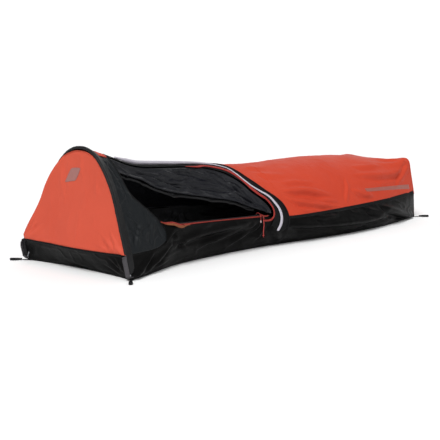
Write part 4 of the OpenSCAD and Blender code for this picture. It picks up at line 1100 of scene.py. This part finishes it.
# coil of the open zip half along the flap, and the coils along the wall
def coil(path, up, r, pitch, wire, seg=8, sides=5):
    path = resample(path, pitch / seg)
    T, S, U = frames(path, up)
    a = np.arange(len(path)) * 2 * math.pi / seg
    pts = path + S * (np.cos(a) * r)[:, None] + U * (np.sin(a) * r * 0.8)[:, None]
    return sweep(pts, (0.13, 0.21, 0.97), circle(wire, sides))


dp, _ = skin_path(REDC[14 * 7 :], 5.6)
o = build("flap_coil", [coil(dp, (0, 0, 1), 0.0014, 0.0022, 0.00055, 6, 4)], [M["red_coil"]])
hoop_blend(o, "cover")

xs_ = np.arange(230, 901, 5.0)
w_top = skin2(xs_, wall_top_v(xs_)) + np.array([0, -3.2, 1.5])
zx = np.stack([xs_ - OX, 0 * xs_ - 259.5, zip_z(xs_)], -1)
k_ = smooth((xs_ - 262) / 120.0)[:, None]
top = w_top * (1 - k_) + (zx + np.array([0, 0, 4.4])) * k_ + np.exp(-(((xs_ - 330) / 60.0) ** 2))[:, None] * np.array([0, -3.0, 0])
wide = np.interp(xs_, [230, 250, 267, 310, 345, 375, 400, 453, 570], [2, 6, 10, 15, 14, 8, 5, 4.5, 4.5])[:, None]
q = np.linspace(0, 1, 6)
turned = np.exp(-(((xs_ - 300) / 62.0) ** 2))[:, None] * np.array([0, -7.0, 0])
mid_ = top + (np.array([0, -0.4, -3.4]) + turned * 0.4)
bot = top + np.array([0, 0.0, -1.0]) * wide + turned * 1.3 + np.array([0, -2.5, 0]) * (1 - k_)
TP = P(mid_[:, None] * (1 - q)[None, :, None] + top[:, None] * q[None, :, None])
o = cloth("outer_tape", TP, [M["red"]], None, 0.0012, 0.0, 0)
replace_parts(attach(o, "tub"), "outer_zip_tape")
TP = P(bot[:, None] * (1 - q)[None, :, None] + mid_[:, None] * q[None, :, None])
o = cloth("outer_tape_back", TP, [M["tan"]], None, 0.0008, 0.0, 0)
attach(o, "tub")
o = build("outer_coil", [coil(P(top + np.array([0, 0, 1.0])), (0, 0, 1), 0.0014, 0.0020, 0.0006, 6, 4)], [M["red_coil"]])
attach(o, "tub")
xs_ = np.arange(300, 877, 6.0)
zx = np.stack([xs_ - OX, 0 * xs_ - 245.0, zip_z(xs_)], -1)
q = np.linspace(0, 1, 5)
TP = P((zx + np.array([0, 0, -10.0]))[:, None] * (1 - q)[None, :, None] + (zx + np.array([0, 0, 6.5]))[:, None] * q[None, :, None])
o = cloth("mesh_tape", TP, [M["grey_tape"]], None, 0.0008, 0.0, 0)
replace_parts(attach(o, "tub"), "mesh_zip_tape")
o = build("mesh_coil", [coil(P(zx + np.array([0, 0, 7.0])), (0, 0, 1), 0.0013, 0.0020, 0.0006, 6, 4)], [M["grey_coil"]])
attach(o, "tub")
# cloth facing that joins the inner tape to the wall
wl = tub(xs_, 0 * xs_ + 0.86, -1) + np.array([0, 3.0, 0])
TP = P((zx + np.array([0, 0, -9.0]))[:, None] * (1 - q)[None, :, None] + wl[:, None] * q[None, :, None] + np.array([0, 6.0, 0]) * np.sin(np.pi * q)[None, :, None])
o = cloth("zip_facing", TP, [M["lining"]], None, 0.0008, 0.0, 0)
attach(o, "tub")

# ---------------------------------------------------------------- mesh door, gathered behind the flap
KM = 24 * KF // 2 + 1                                # it stops where the flap is gathered
mrow = P(np.stack([(r0 * (1 - b) + r1 * b - nl * (10 * math.sin(math.pi * b) + 15) - ul * 12 * b)[:KM] for b in np.linspace(0.02, 1, 30)], 1))
NMm = normals(mrow)
mh = fbm(mrow * 14, 181, 3) * 0.004 + (ridged(mrow * np.array([12.0, 30.0, 30.0]), 183, 1.8) - 0.4) * 0.005
mh = mh * smooth((np.linspace(0, 1, 30)) / 0.15)[None, :]
sgn = -1 if NMm[60, 10, 1] < 0 else 1
mrow2 = mrow - sgn * NMm * np.clip(mh, -0.004, 0.006)[..., None] * -1
o = cloth("mesh_door_net", mrow2, [M["net"]], None, 0.0004, 0.0, 0)
hoop_blend(o, "cover")
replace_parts(o, "mesh_door")
hemp = resample(mrow2[:, -1], 0.005)
o = build("mesh_hem", [sweep(hemp, (0, -1, 0.4), flat_profile(0.009, 0.0016))], [M["web_black"]])
hoop_blend(o, "cover")
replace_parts(o, "mesh_door_hem")

# ---------------------------------------------------------------- pole sleeve
b_end = A2 + (90 - A2) * leg_run(24) / leg_run(98)
ha = np.concatenate([np.linspace(-b_end, -A2, 40)[:-1], np.linspace(-A2, A2, 150), np.linspace(A2, b_end, 40)[1:]])
HC = hoop3(ha, 0 * ha, 0 * ha)
HI = hoop3(ha, 0 * ha + 10, 0 * ha)
outw = unit(HC - HI)
vg = np.linspace(-1.33, 1.33, 1331)
edge0 = skin2(0 * vg, vg)
near_i = np.array([np.argmin(((edge0 - c) ** 2).sum(1)) for c in HC])
v_of = np.interp(np.arange(len(ha)), np.arange(len(ha)), vg[near_i])
v_of = np.convolve(np.pad(v_of, 4, mode="edge"), np.ones(9) / 9, mode="valid")
SW = 31.0
tip = skin2(SW + 0 * v_of, v_of)
nt = unit(np.cross(skin2(SW + 6 + 0 * v_of, v_of) - skin2(SW - 6 + 0 * v_of, v_of), skin2(SW + 0 * v_of, v_of + 0.01) - skin2(SW + 0 * v_of, v_of - 0.01)))
nt = np.where((np.einsum("ij,ij->i", nt, outw) < 0)[:, None], -nt, nt)
tip = tip + nt * 1.3
f1 = unit(tip - HC)
f2 = unit(outw - f1 * np.einsum("ij,ij->i", outw, f1)[:, None])
reach = np.linalg.norm(tip - HC, axis=1)
puck = 1 + 0.05 * vnoise(np.stack([np.arange(len(ha)) * 0.21, 0 * ha, 0 * ha], -1), 7)
ringp = []
R_S = 6.6
for x, yv in [(1.0, 0.9), (0.93, 1.1), (0.85, 1.5), (0.72, 2.2), (0.58, 3.1), (0.44, 4.1)]:
    ringp.append(HC + f1 * (reach * x)[:, None] + f2 * (yv * puck)[:, None])
for ang in np.linspace(62, 298, 15):
    t = math.radians(ang)
    ringp.append(HC + f1 * (R_S * math.cos(t)) + f2 * (R_S * math.sin(t)))
for x, yv in [(0.44, -4.1), (0.58, -3.0), (0.72, -1.8), (0.85, -0.9), (0.93, -0.4), (1.0, -0.2)]:
    ringp.append(HC + f1 * (reach * x)[:, None] + f2 * yv)
SL = P(np.stack(ringp, 1))
Ns = normals(SL)
cen = SL.mean(1, keepdims=True)
Ns = np.where(np.einsum("ijk,ijk->ij", Ns, SL - cen)[..., None] < 0, -Ns, Ns)
SL = SL + Ns * (fbm(SL * 45, 191, 2) * 0.0009 + (ridged(SL * 55, 193, 2.0) - 0.35) * 0.0008)[..., None]
pp, ff, uu, _ = grid_part(SL, None, 0, close_v=True)
n = SL.shape[1]
ff = ff + [list(range(n))[::-1], list(range((len(ha) - 1) * n, len(ha) * n))]
o = build("pole_tunnel", [(pp, ff, uu, 0)], [M["sleeve"]])
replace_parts(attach(o, "hoop"), "pole_sleeve")
# stitches along the sleeve's seam
st_path = P(HC + f1 * (reach * 0.80)[:, None] + f2 * (2.2 * puck)[:, None])
o = build("tunnel_stitches", stitch_parts(st_path, f2, 0.0042, 0.0028, 0.00034, 0.0002), [M["thread_black"]])
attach(o, "hoop")
# welt between the head panel and the sleeve
keep = np.abs(ha) < 89.0
# the welt wears the head panel's lighter orange, painted light
o = build("head_welt", [sweep(P(hoop3(ha[keep], np.interp(ha[keep], PANEL_A, PANEL_D) + 0.8, 0 * ha[keep] - 5.4)), (1, 0, 0), circle(0.0014, 8))], [M["head_orange_lit"]])
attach(o, "hoop")

# ---------------------------------------------------------------- pole pockets
leg_dir = np.array([math.cos(math.radians(A2)), -math.sin(math.radians(A2))])   # down the far leg, in the hoop's plane


def leg_point(h, side, across=0.0, front_=0.0):
    """A point beside the leg at a height along it: across in the hoop's plane, front_ along its normal."""
    if side > 0:
        # the far pocket is turned round the corner onto the side wall
        c_, s_ = math.cos(TURN), math.sin(TURN)
        across, front_ = across * c_ - front_ * s_, across * s_ + front_ * c_
    c = np.array([E2[0], E2[1]]) + leg_dir * leg_run(h)
    c = c + np.array([leg_dir[1], -leg_dir[0]]) * -across
    x, y, z = front_, c[0] * side, c[1]
    return np.array([x * math.cos(LEAN) + z * math.sin(LEAN) - OX, y, z * math.cos(LEAN) - x * math.sin(LEAN)])


TURN = math.radians(75)
for side, nm in ((-1, "near"), (1, "far")):
    route = [leg_point(h, side, 0, -12.4 + 2.2 * smooth((h - 70) / 20.0)) for h in np.linspace(92, 20, 14)]
    route += [leg_point(10 + 3.2 + 5 * (1 - math.sin(t)), side, 0, -12.4 + 6 * (1 - math.cos(t))) for t in np.linspace(0.2, math.pi / 2, 5)]
    route += [leg_point(12.6, side, 0, x) for x in (-2, 3, 7)]
    route = P(np.array(route))
    across = unit(leg_point(50, side, 5) - leg_point(50, side, -5))
    out_ = unit(leg_point(50, side, 0, -5) - leg_point(50, side, 0, 0))
    prof = flat_profile(0.026, 0.0018, 4)[:, ::-1]
    parts = [sweep(route, across, prof)]
    o = build("pocket_" + nm, parts, [M["web_grey"]])
    # texture coordinates across the webbing
    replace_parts(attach(o, "hoop"), "pole_pocket_" + nm)
    st = []
    for ax in (-10.5, 10.5):
        ln = P(np.array([leg_point(h, side, ax, -13.5 + 2.2 * smooth((h - 70) / 20.0)) for h in np.linspace(88, 22, 30)]))
        st += stitch_parts(ln, np.tile(out_, (len(ln), 1)), 0.0036, 0.0024, 0.0004, 0.0002)
    for h_ in (86, 82, 56):
        ln = P(np.array([leg_point(h_, side, ax, -13.5 + 2.2 * smooth((h_ - 70) / 20.0)) for ax in np.linspace(-10.5, 10.5, 12)]))
        st += stitch_parts(ln, np.tile(out_, (len(ln), 1)), 0.0024, 0.0019, 0.0004, 0.0002)
    o = build("pocket_stitches_" + nm, st, [M["thread_black"]])
    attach(o, "hoop")

# ---------------------------------------------------------------- stake loops
def arc_pts(cx, cy, r, a0, a1, n):
    return [(cx + r * math.cos(t), cy + r * math.sin(t)) for t in np.radians(np.linspace(a0, a1, n))]


loop2d = [(0.3, -1.0), (4, -1.0), (8, -1.0), (12, -1.6), (16, -4.2), (20, -6.4), (24, -7.0), (34, -7.0), (40, -7.0)] + arc_pts(44, 0, 7.0, -90, 90, 15) + [(40, 7.0), (34, 7.0), (24, 7.0), (20, 6.4), (16, 4.2), (12, 1.6), (8, 1.0), (4, 1.0), (0.3, 1.0)]
loop2d = np.array(loop2d)
CORN = {"head_near": (6, -316, -1, -1), "head_far": (6, 316, -1, 1), "foot_near": (L - 4, -234, 1, -1), "foot_far": (L - 4, 234, 1, 1)}
tails, tail_st = [], []
for nm, (cx, cy, dx, dy) in CORN.items():
    u_ = np.array([dx, dy]) / math.sqrt(2)
    v_ = np.array([-u_[1], u_[0]])
    base2 = np.array([cx - OX, cy]) + u_ * 28
    xy = base2 + loop2d[:, :1] * u_ + loop2d[:, 1:] * v_
    path = P(np.column_stack([xy, np.full(len(xy), 4.5)]))
    dense = resample(P(np.vstack([fine(path / MM, 4)])), 0.0018)
    o = build("loop_" + nm, [sweep(dense, (0, 0, 1), flat_profile(0.0088, 0.0017, 4)[:, ::-1])], [M["web_black"]])
    st = []
    for x0 in (3.0, 5.0, 7.0):
        ln = P(np.array([[*(base2 + x0 * u_ + 1.95 * v_ * sgn_), zz] for sgn_ in (1,) for zz in np.linspace(0.8, 8.2, 8)]))
        st += stitch_parts(ln, np.tile([*v_, 0.0], (len(ln), 1)), 0.0022, 0.0017, 0.0003, 0.0001)
    for x0 in (3.0, 5.0, 7.0):
        ln = P(np.array([[*(base2 + x0 * u_ - 1.95 * v_), zz] for zz in np.linspace(0.8, 8.2, 8)]))
        st += stitch_parts(ln, np.tile([*(-v_), 0.0], (len(ln), 1)), 0.0022, 0.0017, 0.0003, 0.0001)
    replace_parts(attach(o, "loop_" + nm), "stake_loop_" + nm)
    so = build("loop_tack_" + nm, st, [M["thread_grey"]])
    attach(so, "loop_" + nm)
    # the sewn tail under the corner
    tp = np.array([[*(np.array([cx - OX, cy]) + u_ * d), 0.9 + 0.9 * float(smooth((d + 6) / 30.0))] for d in np.linspace(-8, 27, 18)])
    tails.append(sweep(P(tp), (0, 0, 1), flat_profile(0.010, 0.0016, 4)))
    for k in (-3.4, 3.4):
        ln = P(np.array([[*(np.array([cx - OX, cy]) + u_ * d + v_ * k), 1.9 + 0.9 * float(smooth((d + 6) / 30.0))] for d in np.linspace(4, 22, 12)]))
        tail_st += stitch_parts(ln, np.tile([0, 0, 1.0], (len(ln), 1)), 0.0028, 0.002, 0.0003, 0.0001)
    for p0, p1 in (((5, -3.2), (14, 3.2)), ((5, 3.2), (14, -3.2)), ((4.4, -3.2), (4.4, 3.2)), ((14.6, -3.2), (14.6, 3.2))):
        ln = P(np.array([[*(np.array([cx - OX, cy]) + u_ * (p0[0] + (p1[0] - p0[0]) * f) + v_ * (p0[1] + (p1[1] - p0[1]) * f)), 1.6] for f in np.linspace(0, 1, 8)]))
        tail_st += stitch_parts(ln, np.tile([0, 0, 1.0], (len(ln), 1)), 0.0024, 0.0018, 0.0003, 0.0001)
o = build("loop_tails", tails, [M["web_black"]])
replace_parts(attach(o, "tub"), "stake_loop_tails")
o = build("loop_tail_stitches", tail_st, [M["thread_grey"]])
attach(o, "tub")

# small loops at the foot end's top corners
gl = []
for side in (-1, 1):
    c = np.array([L - 34 - OX, side * 200.0, 262.0])
    route = np.array([[0, 0, 0.9], [6, 0, 1.0], [12, 0, 2.0], [17, 0, 2.6], [19.4, 0, 1.2], [19.9, 0, 0], [19.4, 0, -1.2], [17, 0, -2.6], [12, 0, -2.0], [6, 0, -1.0], [0, 0, -0.9]])
    gl.append(sweep(P(fine(route, 4) + c), (0, 1, 0), flat_profile(0.010, 0.0011, 4)[:, ::-1]))
o = build("guy_loops", gl, [M["web_black"]])
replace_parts(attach(o, "tub"), "foot_guy_loops")

# pad straps across the floor
for s0, nm in ((620, "head"), (1350, "foot")):
    w_ = spl(FLOOR_Y, s0) - 12
    ys = np.linspace(-w_, w_, 90)
    zz = 4.2 + 2.2 * np.abs(vnoise(np.stack([ys / 60, 0 * ys + s0, 0 * ys], -1), 5)) + 1.2
    xx = s0 + 12.5 - OX + 2.0 * vnoise(np.stack([ys / 150, 0 * ys + s0, 0 * ys + 9], -1), 6)
    zz = zz * smooth((w_ - np.abs(ys)) / 30) + 2.6 * (1 - smooth((w_ - np.abs(ys)) / 30))
    o = build("strap_" + nm, [sweep(P(np.column_stack([xx, ys, zz])), (0, 0, 1), flat_profile(0.025, 0.0013, 4))], [M["web_black"]])
    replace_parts(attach(o, "tub"), "pad_strap_" + nm)
    st = []
    for side in (-1, 1):
        for d in (6, 14, 22):
            ln = P(np.array([[xx.mean() + x, side * (w_ - d), 3.7] for x in np.linspace(-11, 11, 14)]))
            st += stitch_parts(ln, np.tile([0, 0, 1.0], (len(ln), 1)), 0.003, 0.0022, 0.00035, 0.0003)
    so = build("strap_stitches_" + nm, st, [M["thread_grey"]])
    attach(so, "tub")

# ---------------------------------------------------------------- patch and strip
def patch_grid(n=30):
    u = np.linspace(0, 1, n)
    A_, B_ = np.meshgrid(u, u, indexing="ij")
    k = 0.16                                        # rounded corners
    x, y = A_ * 2 - 1, B_ * 2 - 1
    r = np.sqrt(1 - 0.5 * (np.abs(y) ** 8) * k * 2), np.sqrt(1 - 0.5 * (np.abs(x) ** 8) * k * 2)
    return 0.5 + 0.5 * x * r[0], 0.5 + 0.5 * y * r[1]


def head_surface(a, b):
    ia = (np.asarray(a) + 1) / 2 * (HP1.shape[0] - 1)
    ib = np.asarray(b) * (HP1.shape[1] - 1)
    i, j = np.clip(np.floor(ia).astype(int), 0, HP1.shape[0] - 2), np.clip(np.floor(ib).astype(int), 0, HP1.shape[1] - 2)
    f, g = (ia - i)[..., None], (ib - j)[..., None]
    return HP1[i, j] * (1 - f) * (1 - g) + HP1[i + 1, j] * f * (1 - g) + HP1[i, j + 1] * (1 - f) * g + HP1[i + 1, j + 1] * f * g


px_, py_ = patch_grid()
PA, PB = 0.02 + 0.29 * px_ - 0.14 * (py_ - 0.5), 0.685 + 0.14 * py_
PG = head_surface(PA, PB) + np.array([-0.0011, 0, 0.0001])
o = cloth("head_emblem_patch", PG, [M["patch"]], None, 0.0005, 0.0, 0)
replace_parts(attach(o, "hoop"), "head_patch")
ed = np.concatenate([PG[:, 0], PG[-1, :], PG[::-1, -1], PG[0, ::-1]])
cpt = PG.mean((0, 1))
ln = resample(cpt + (ed - cpt) * 0.95 + np.array([-0.0004, 0, 0]), 0.002)
o = build("patch_stitches", stitch_parts(ln, np.tile([-1.0, 0, 0], (len(ln), 1)), 0.0036, 0.0025, 0.0003, 0.0002), [M["thread_orange"]])
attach(o, "hoop")


def cover_surface(s, v):
    """The finished cover's surface at a place on it, behind the flap."""
    s, v = np.broadcast_arrays(np.asarray(s, float), np.asarray(v, float))
    i = np.clip(np.searchsorted(s_lines, s, side="right") - 1, 0, len(s_lines) - 2)
    f = ((s - s_lines[i]) / (s_lines[i + 1] - s_lines[i]))[..., None]

    def row(ii):
        q_ = np.clip((v - V0[ii, 0]) / (1 - V0[ii, 0]), 0, 1) * (nv - 1)
        j = np.clip(np.floor(q_).astype(int), 0, nv - 2)
        g = (q_ - j)[..., None]
        return C1_[ii, j] * (1 - g) + C1_[ii, j + 1] * g
    return row(i) * (1 - f) + row(i + 1) * f


us, vs2 = np.meshgrid(np.linspace(1640, 2060, 80), np.linspace(-0.845, -0.80, 8), indexing="ij")
SG = cover_surface(us, vs2 + 0.005 - 0.11 * (us - 1640) / 420)
NS = normals(SG)
NS = np.where(NS[..., 1:2] > 0, -NS, NS)
o = cloth("foot_side_strip", SG + NS * 0.0009, [M["strip"]], None, 0.0004, 0.0, 0)
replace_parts(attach(o, "tub"), "foot_strip")

# ---------------------------------------------------------------- seams
for side, nm, s_a in ((-1, "near", 1028), (1, "far", 4)):
    s_l = np.arange(s_a, L - 3, 7.0)
    rows_ = []
    for k, (kind, val, off) in enumerate((("t", 0.955, 0.9), ("t", 0.985, 1.5), ("c", 1.0, 1.7), ("c", 0.992, 1.5), ("c", 0.975, 0.9))):
        base = tub(s_l, 0 * s_l + val, side) if kind == "t" else cov(s_l, side * (0 * s_l + val))
        n_ = np.column_stack([0 * s_l, side + 0 * s_l, 0.25 + 0 * s_l])
        rows_.append(base + unit(n_) * off)
    SR = P(np.stack(rows_, 1))
    o = cloth("seam_" + nm, SR, [M["binding"]], None, 0.0007, 0.0, 0, flip=side > 0)
    if nm == "near":
        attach(o, "tub")
    else:
        hoop_blend(o, "cover")
    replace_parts(o, "cover_seam_" + nm)
    for tag, val, off in (("a", 0.962, 1.25), ("b", 0.982, 1.8)):
        ln = P(cov(s_l, side * (0 * s_l + (1.0 if tag == "b" else 0.968))) + np.array([0, side * (1.9 if tag == "b" else 0.7), 0.2]))
        if tag == "b":
            ln = P(tub(s_l, 0 * s_l + 0.972, side) + np.array([0, side * 1.75, 0.2]))
        st = build("seam_stitches_" + nm + "_" + tag, stitch_parts(ln, np.tile([0, side * 1.0, 0.2], (len(ln), 1)), 0.0044, 0.0030, 0.00035, 0.0003), [M["thread_orange"] if tag == "a" else M["thread_black"]])
        if nm == "near":
            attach(st, "tub")
        else:
            hoop_blend(st, "cover")

aa = np.linspace(-0.94, 0.94, 80)
hsl = head_seam_p(aa)
hsl[:, 1] = aa * (278 + 14 * np.abs(aa) ** 6)
hsl = hsl - np.array([3.0, 0, 0])
rows_ = [hsl + np.array([d, 0, z]) for z, d in ((-7.0, 2.0), (-4.0, 1.3), (0.0, 0.9), (2.0, 1.6))]
o = cloth("head_seam_tape", P(np.stack(rows_, 1)), [M["binding"]], None, 0.0008, 0.0, 0)
hoop_blend(o, "head")
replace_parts(o, "head_seam")
for z, d, mt in ((-5.6, 1.3, "thread_black"), (4.4, 2.4, "thread_orange")):
    ln = P(hsl + np.array([d - 0.6, 0, z]))
    st = build("head_seam_stitches_" + ("a" if z < 0 else "b"), stitch_parts(ln, np.tile([-1.0, 0, 0], (len(ln), 1)), 0.0044, 0.003, 0.00035, 0.0003), [M[mt]])
    if z < 0:
        hoop_blend(st, "head")
    else:
        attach(st, "hoop")
# foot end seams: welts along the foot panel's edges
fe = P(cov(L + 0 * vv, vv) + np.array([1.0, 0, 0.6]))
o = build("foot_welt", [sweep(resample(fe, 0.006), (1, 0, 0.1), circle(0.0017, 7))], [M["orange"]])
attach(o, "tub")
fb = P(warp(L, vv * 240, 124.0) + np.array([1.2, 0, 0]))
o = build("foot_low_welt", [sweep(resample(fb, 0.006), (1, 0, 0.1), circle(0.0015, 7))], [M["binding"]])
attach(o, "tub")

# ---------------------------------------------------------------- sliders, tab and stop
def slider_mesh(x, y, mats, name):
    c = np.array([x - OX, y, zip_z(x)])
    ang = -math.atan(0.05)
    ca, sa = math.cos(ang), math.sin(ang)

    def tr(p):
        p = np.asarray(p, float)
        return P(np.stack([p[..., 0] * ca - p[..., 2] * sa, p[..., 1], p[..., 0] * sa + p[..., 2] * ca], -1) + c)
    parts = []
    # two tapered wings, one on each side of the tape
    outline = [(-7, 2.4), (-6.2, 3.6), (-2, 4.6), (3, 5.6), (6.2, 6.0), (7, 5.0), (7, 9.0), (6.2, 10.4), (2, 10.9), (-3, 10.2), (-6.2, 9.4), (-7, 8.2), (-7.2, 5.2)]
    ol = np.array(outline)
    cen = ol.mean(0)
    for y0, y1 in ((-4.2, -2.3), (2.3, 4.2)):
        rings_ = []
        for yy, k in ((y0, 0.86), (y0 + 0.35, 0.97), ((y0 + y1) / 2, 1.0), (y1 - 0.35, 0.97), (y1, 0.86)):
            r = cen + (ol - cen) * k
            rings_.append(np.column_stack([r[:, 0], np.full(len(r), yy), r[:, 1]]))
        R = tr(np.stack(rings_, 0))
        pp, ff, uu, _ = grid_part(R, np.zeros(R.shape[:2] + (2,)), 0, close_v=True)
        n = len(ol)
        parts.append((pp, [f[::-1] for f in ff] + [list(range(n)), list(range(4 * n, 5 * n))[::-1]], uu, 0))
    # the bridge over the top, between the wings
    br = tr(np.array([[-1.5, -2.6, 10.4], [-1.5, 0, 11.4], [-1.5, 2.6, 10.4]]))
    parts.append(sweep(br, (1, 0, 0), circle(0.0022, 10, 0.0012)))
    # the eye on the outer wing, that the pull hangs from
    eye_ = tr(np.array([[-4.2, -3.8, 8.4], [-4.0, -6.6, 8.4], [-2.4, -8.1, 8.0], [0, -8.5, 7.8], [2.4, -8.1, 8.0], [4.0, -6.6, 8.4], [4.2, -3.8, 8.4]]))
    parts.append(sweep(eye_, (0, 0, 1), circle(0.0010, 8, 0.0013)))
    return build(name, parts, mats)


o = slider_mesh(856, -259.5, [M["slider"]], "outer_slider_body")
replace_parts(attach(o, "outer_slider"), "outer_slider")
o = slider_mesh(834, -245.0, [M["slider_dark"]], "mesh_slider_body")
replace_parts(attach(o, "mesh_slider"), "mesh_slider")

# pull tab: a flat tongue with one hole
tb = []
for (wx, z0, z1) in ((3.4, -15, 0.6),):
    zs = np.linspace(z0, z1, 14)
    half = np.array([wx * (0.62 + 0.38 * smooth((z - z0) / 3.0)) * (0.80 + 0.20 * smooth((z1 - z) / 5.0)) for z in zs])
    loopo = np.concatenate([np.column_stack([half, zs]), np.column_stack([-half, zs])[::-1]])
    hole = np.array([(1.9 * math.cos(t), -11 + 1.9 * math.sin(t)) for t in np.linspace(-math.pi / 2, 3 * math.pi / 2, len(loopo), endpoint=False)])
    near_idx = np.argmin(((loopo[:, None] - hole[None]) ** 2).sum(-1), 1)
ring_o = loopo
ang_o = np.arctan2(ring_o[:, 1] + 11, ring_o[:, 0])
order = np.argsort(ang_o)
ring_o, ang_o = ring_o[order], ang_o[order]
hole = np.column_stack([1.9 * np.cos(ang_o), -11 + 1.9 * np.sin(ang_o)])
prof_tab = [(0.0, -0.55), (0.12, -0.8), (0.5, -0.85), (0.88, -0.8), (1.0, -0.5), (1.0, 0.5), (0.88, 0.8), (0.5, 0.85), (0.12, 0.8), (0.0, 0.55)]
TR = np.stack([np.column_stack([(hole + (ring_o - hole) * f)[:, 0], np.full(len(hole), t), (hole + (ring_o - hole) * f)[:, 1]]) for f, t in prof_tab], 1) + PULL
pp, ff, uu, _ = grid_part(P(np.concatenate([TR, TR[:1]])), None, 0, close_v=True)
o = build("outer_tab", [(pp, ff, uu, 0), sweep(P(np.array([PULL + [-3.2, 0, 0], PULL + [0, 0, 0], PULL + [3.2, 0, 0]])), (0, 0, 1), circle(0.0009, 10))], [M["slider"]])
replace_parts(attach(o, "outer_pull"), "outer_pull_tab")

# the zip's end stop: a folded tab of tape sewn over the coil
ex, ey, ez = 901.5 - OX, -259.5, zip_z(901.5)
xs2 = np.linspace(0, 7, 6)
sec = np.array([(-2.4, -3.4), (-2.5, 0.0), (-2.4, 2.6), (-1.6, 3.4), (0, 3.6), (1.6, 3.4), (2.4, 2.6), (2.5, 0.0), (2.4, -3.4), (1.2, -3.5), (0, -3.5), (-1.2, -3.5)])
R = np.array([[[ex + x, ey + s_[0] * (0.85 + 0.15 * math.sin(math.pi * (x / 7) ** 0.7)), ez + 3.5 + s_[1] * (0.9 + 0.1 * math.sin(math.pi * x / 7))] for s_ in sec] for x in xs2])
pp, ff, uu, _ = grid_part(P(R), None, 0, close_v=True)
n = len(sec)
o = build("zip_stop_tab", [(pp, [f[::-1] for f in ff] + [list(range(n)), list(range(5 * n, 6 * n))[::-1]], uu, 0)], [M["binding"]])
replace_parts(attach(o, "tub"), "zip_end_stop")

# ---------------------------------------------------------------- CAD pieces that keep their own shape
for node, m_ in (("pole_center", "alloy"), ("pole_leg_near", "alloy"), ("pole_leg_far", "alloy"), ("pole_ferrules", "alloy"), ("pole_tips", "plastic"), ("shock_cord", "elastic")):
    ob = frame["nodes"][node]
    if len(ob.material_slots) == 0:
        ob.data.materials.append(M[m_])
    for sl in ob.material_slots:
        sl.link = "OBJECT"
        sl.material = M[m_]

WORLD_LOW, WORLD_HIGH = 0.50, 1.12
LIGHTS = [
    (("key", "SUN", (-0.85, -0.40, 1.25), (0, 0, 0), 2.3), {"angle": math.radians(26)}),
    (("side_box", "AREA", (-1.6, -3.4, 1.9), (0.1, 0, 0.15), 20.0), {"shape": "RECTANGLE", "size": 2.6, "size_y": 1.2}),
]


def true_area(o):
    n = len(o.data.polygons)
    a = np.zeros(n)
    o.data.polygons.foreach_get("area", a)
    return float(a.sum())


SHEETS = {
    "cover": ((0.90, 2.14), "stretched", ["pole_tunnel", "tub_far", "foot_end"]),
    "foot_end": ((0.50, 0.24), "stretched", ["cover", "tub_foot"]),
    "head_end": ((0.60, 0.42), "stretched", ["pole_tunnel", "tub_head"]),
    "tub_near": ((0.19, 2.16), "stretched", ["floor"]),
    "tub_far": ((0.19, 2.16), "stretched", ["floor"]),
    "tub_head": ((0.66, 0.12), "stretched", ["floor"]),
    "tub_foot": ((0.50, 0.14), "stretched", ["floor"]),
    "floor": ((0.64, 2.12), "laid", []),
    "gusset_door_side": ((0.30, 0.52), "stretched", ["pole_tunnel", "tub_near"]),
    "gusset_far_side": ((0.28, 0.52), "stretched", ["pole_tunnel", "cover"]),
    "door_flap": ((0.42, 0.92), "folded", ["storm_flap_cloth", "cover"]),
    "storm_flap_cloth": ((0.11, 1.20), "draped", ["cover", "tub_near"]),
    "mesh_door_net": ((0.18, 0.90), "gathered", ["door_flap"]),
}
areas = {}
for n_, (flat, held, on) in SHEETS.items():
    ob = bpy.data.objects[n_]
    a_ = true_area(ob)
    areas[n_] = round(a_, 4)

# ---------------------------------------------------------------- floor and light
def plane(name, size, z, mat):
    me = bpy.data.meshes.new(name)
    me.from_pydata([(-size, -size, z), (size, -size, z), (size, size, z), (-size, size, z)], [], [(0, 1, 2, 3)])
    me.materials.append(mat)
    ob = bpy.data.objects.new(name, me)
    scene.collection.objects.link(ob)
    return ob


fm = bpy.data.materials.new("studio_floor")
fm.use_nodes = True
fm.node_tree.nodes["Principled BSDF"].inputs["Base Color"].default_value = (0.93, 0.93, 0.93, 1)
fm.node_tree.nodes["Principled BSDF"].inputs["Roughness"].default_value = 0.9
fm.node_tree.nodes["Principled BSDF"].inputs["Specular IOR Level"].default_value = 0.1
plane("studio_floor", 30.0, -0.0006, fm)

# A white sweep behind the sack, a softer room round the rest, and one wide soft key from the head end.
world = bpy.data.worlds.new("studio")
scene.world = world
world.use_nodes = True
wt = world.node_tree
bg = wt.nodes["Background"]
wco = wt.nodes.new("ShaderNodeTexCoord")
dot = wt.nodes.new("ShaderNodeVectorMath")
dot.operation = "DOT_PRODUCT"
wt.links.new(wco.outputs["Generated"], dot.inputs[0])
dot.inputs[1].default_value = (0.7376, 0.6752, 0.0)
rng = wt.nodes.new("ShaderNodeMapRange")
rng.interpolation_type = "SMOOTHSTEP"
for key, val in (("From Min", 0.55), ("From Max", 0.93), ("To Min", WORLD_LOW), ("To Max", WORLD_HIGH)):
    rng.inputs[key].default_value = val
wt.links.new(dot.outputs["Value"], rng.inputs["Value"])
wt.links.new(rng.outputs["Result"], bg.inputs["Strength"])
bg.inputs["Color"].default_value = (1, 1, 1, 1)


def light(name, kind, loc, target, energy, **props):
    d = bpy.data.lights.new(name, kind)
    d.energy = energy
    for k, v in props.items():
        setattr(d, k, v)
    ob = bpy.data.objects.new(name, d)
    scene.collection.objects.link(ob)
    ob.location = loc
    ob.rotation_euler = (Vector(target) - Vector(loc)).to_track_quat("-Z", "Y").to_euler()
    return ob


for l_, props in LIGHTS:
    light(*l_, **props)
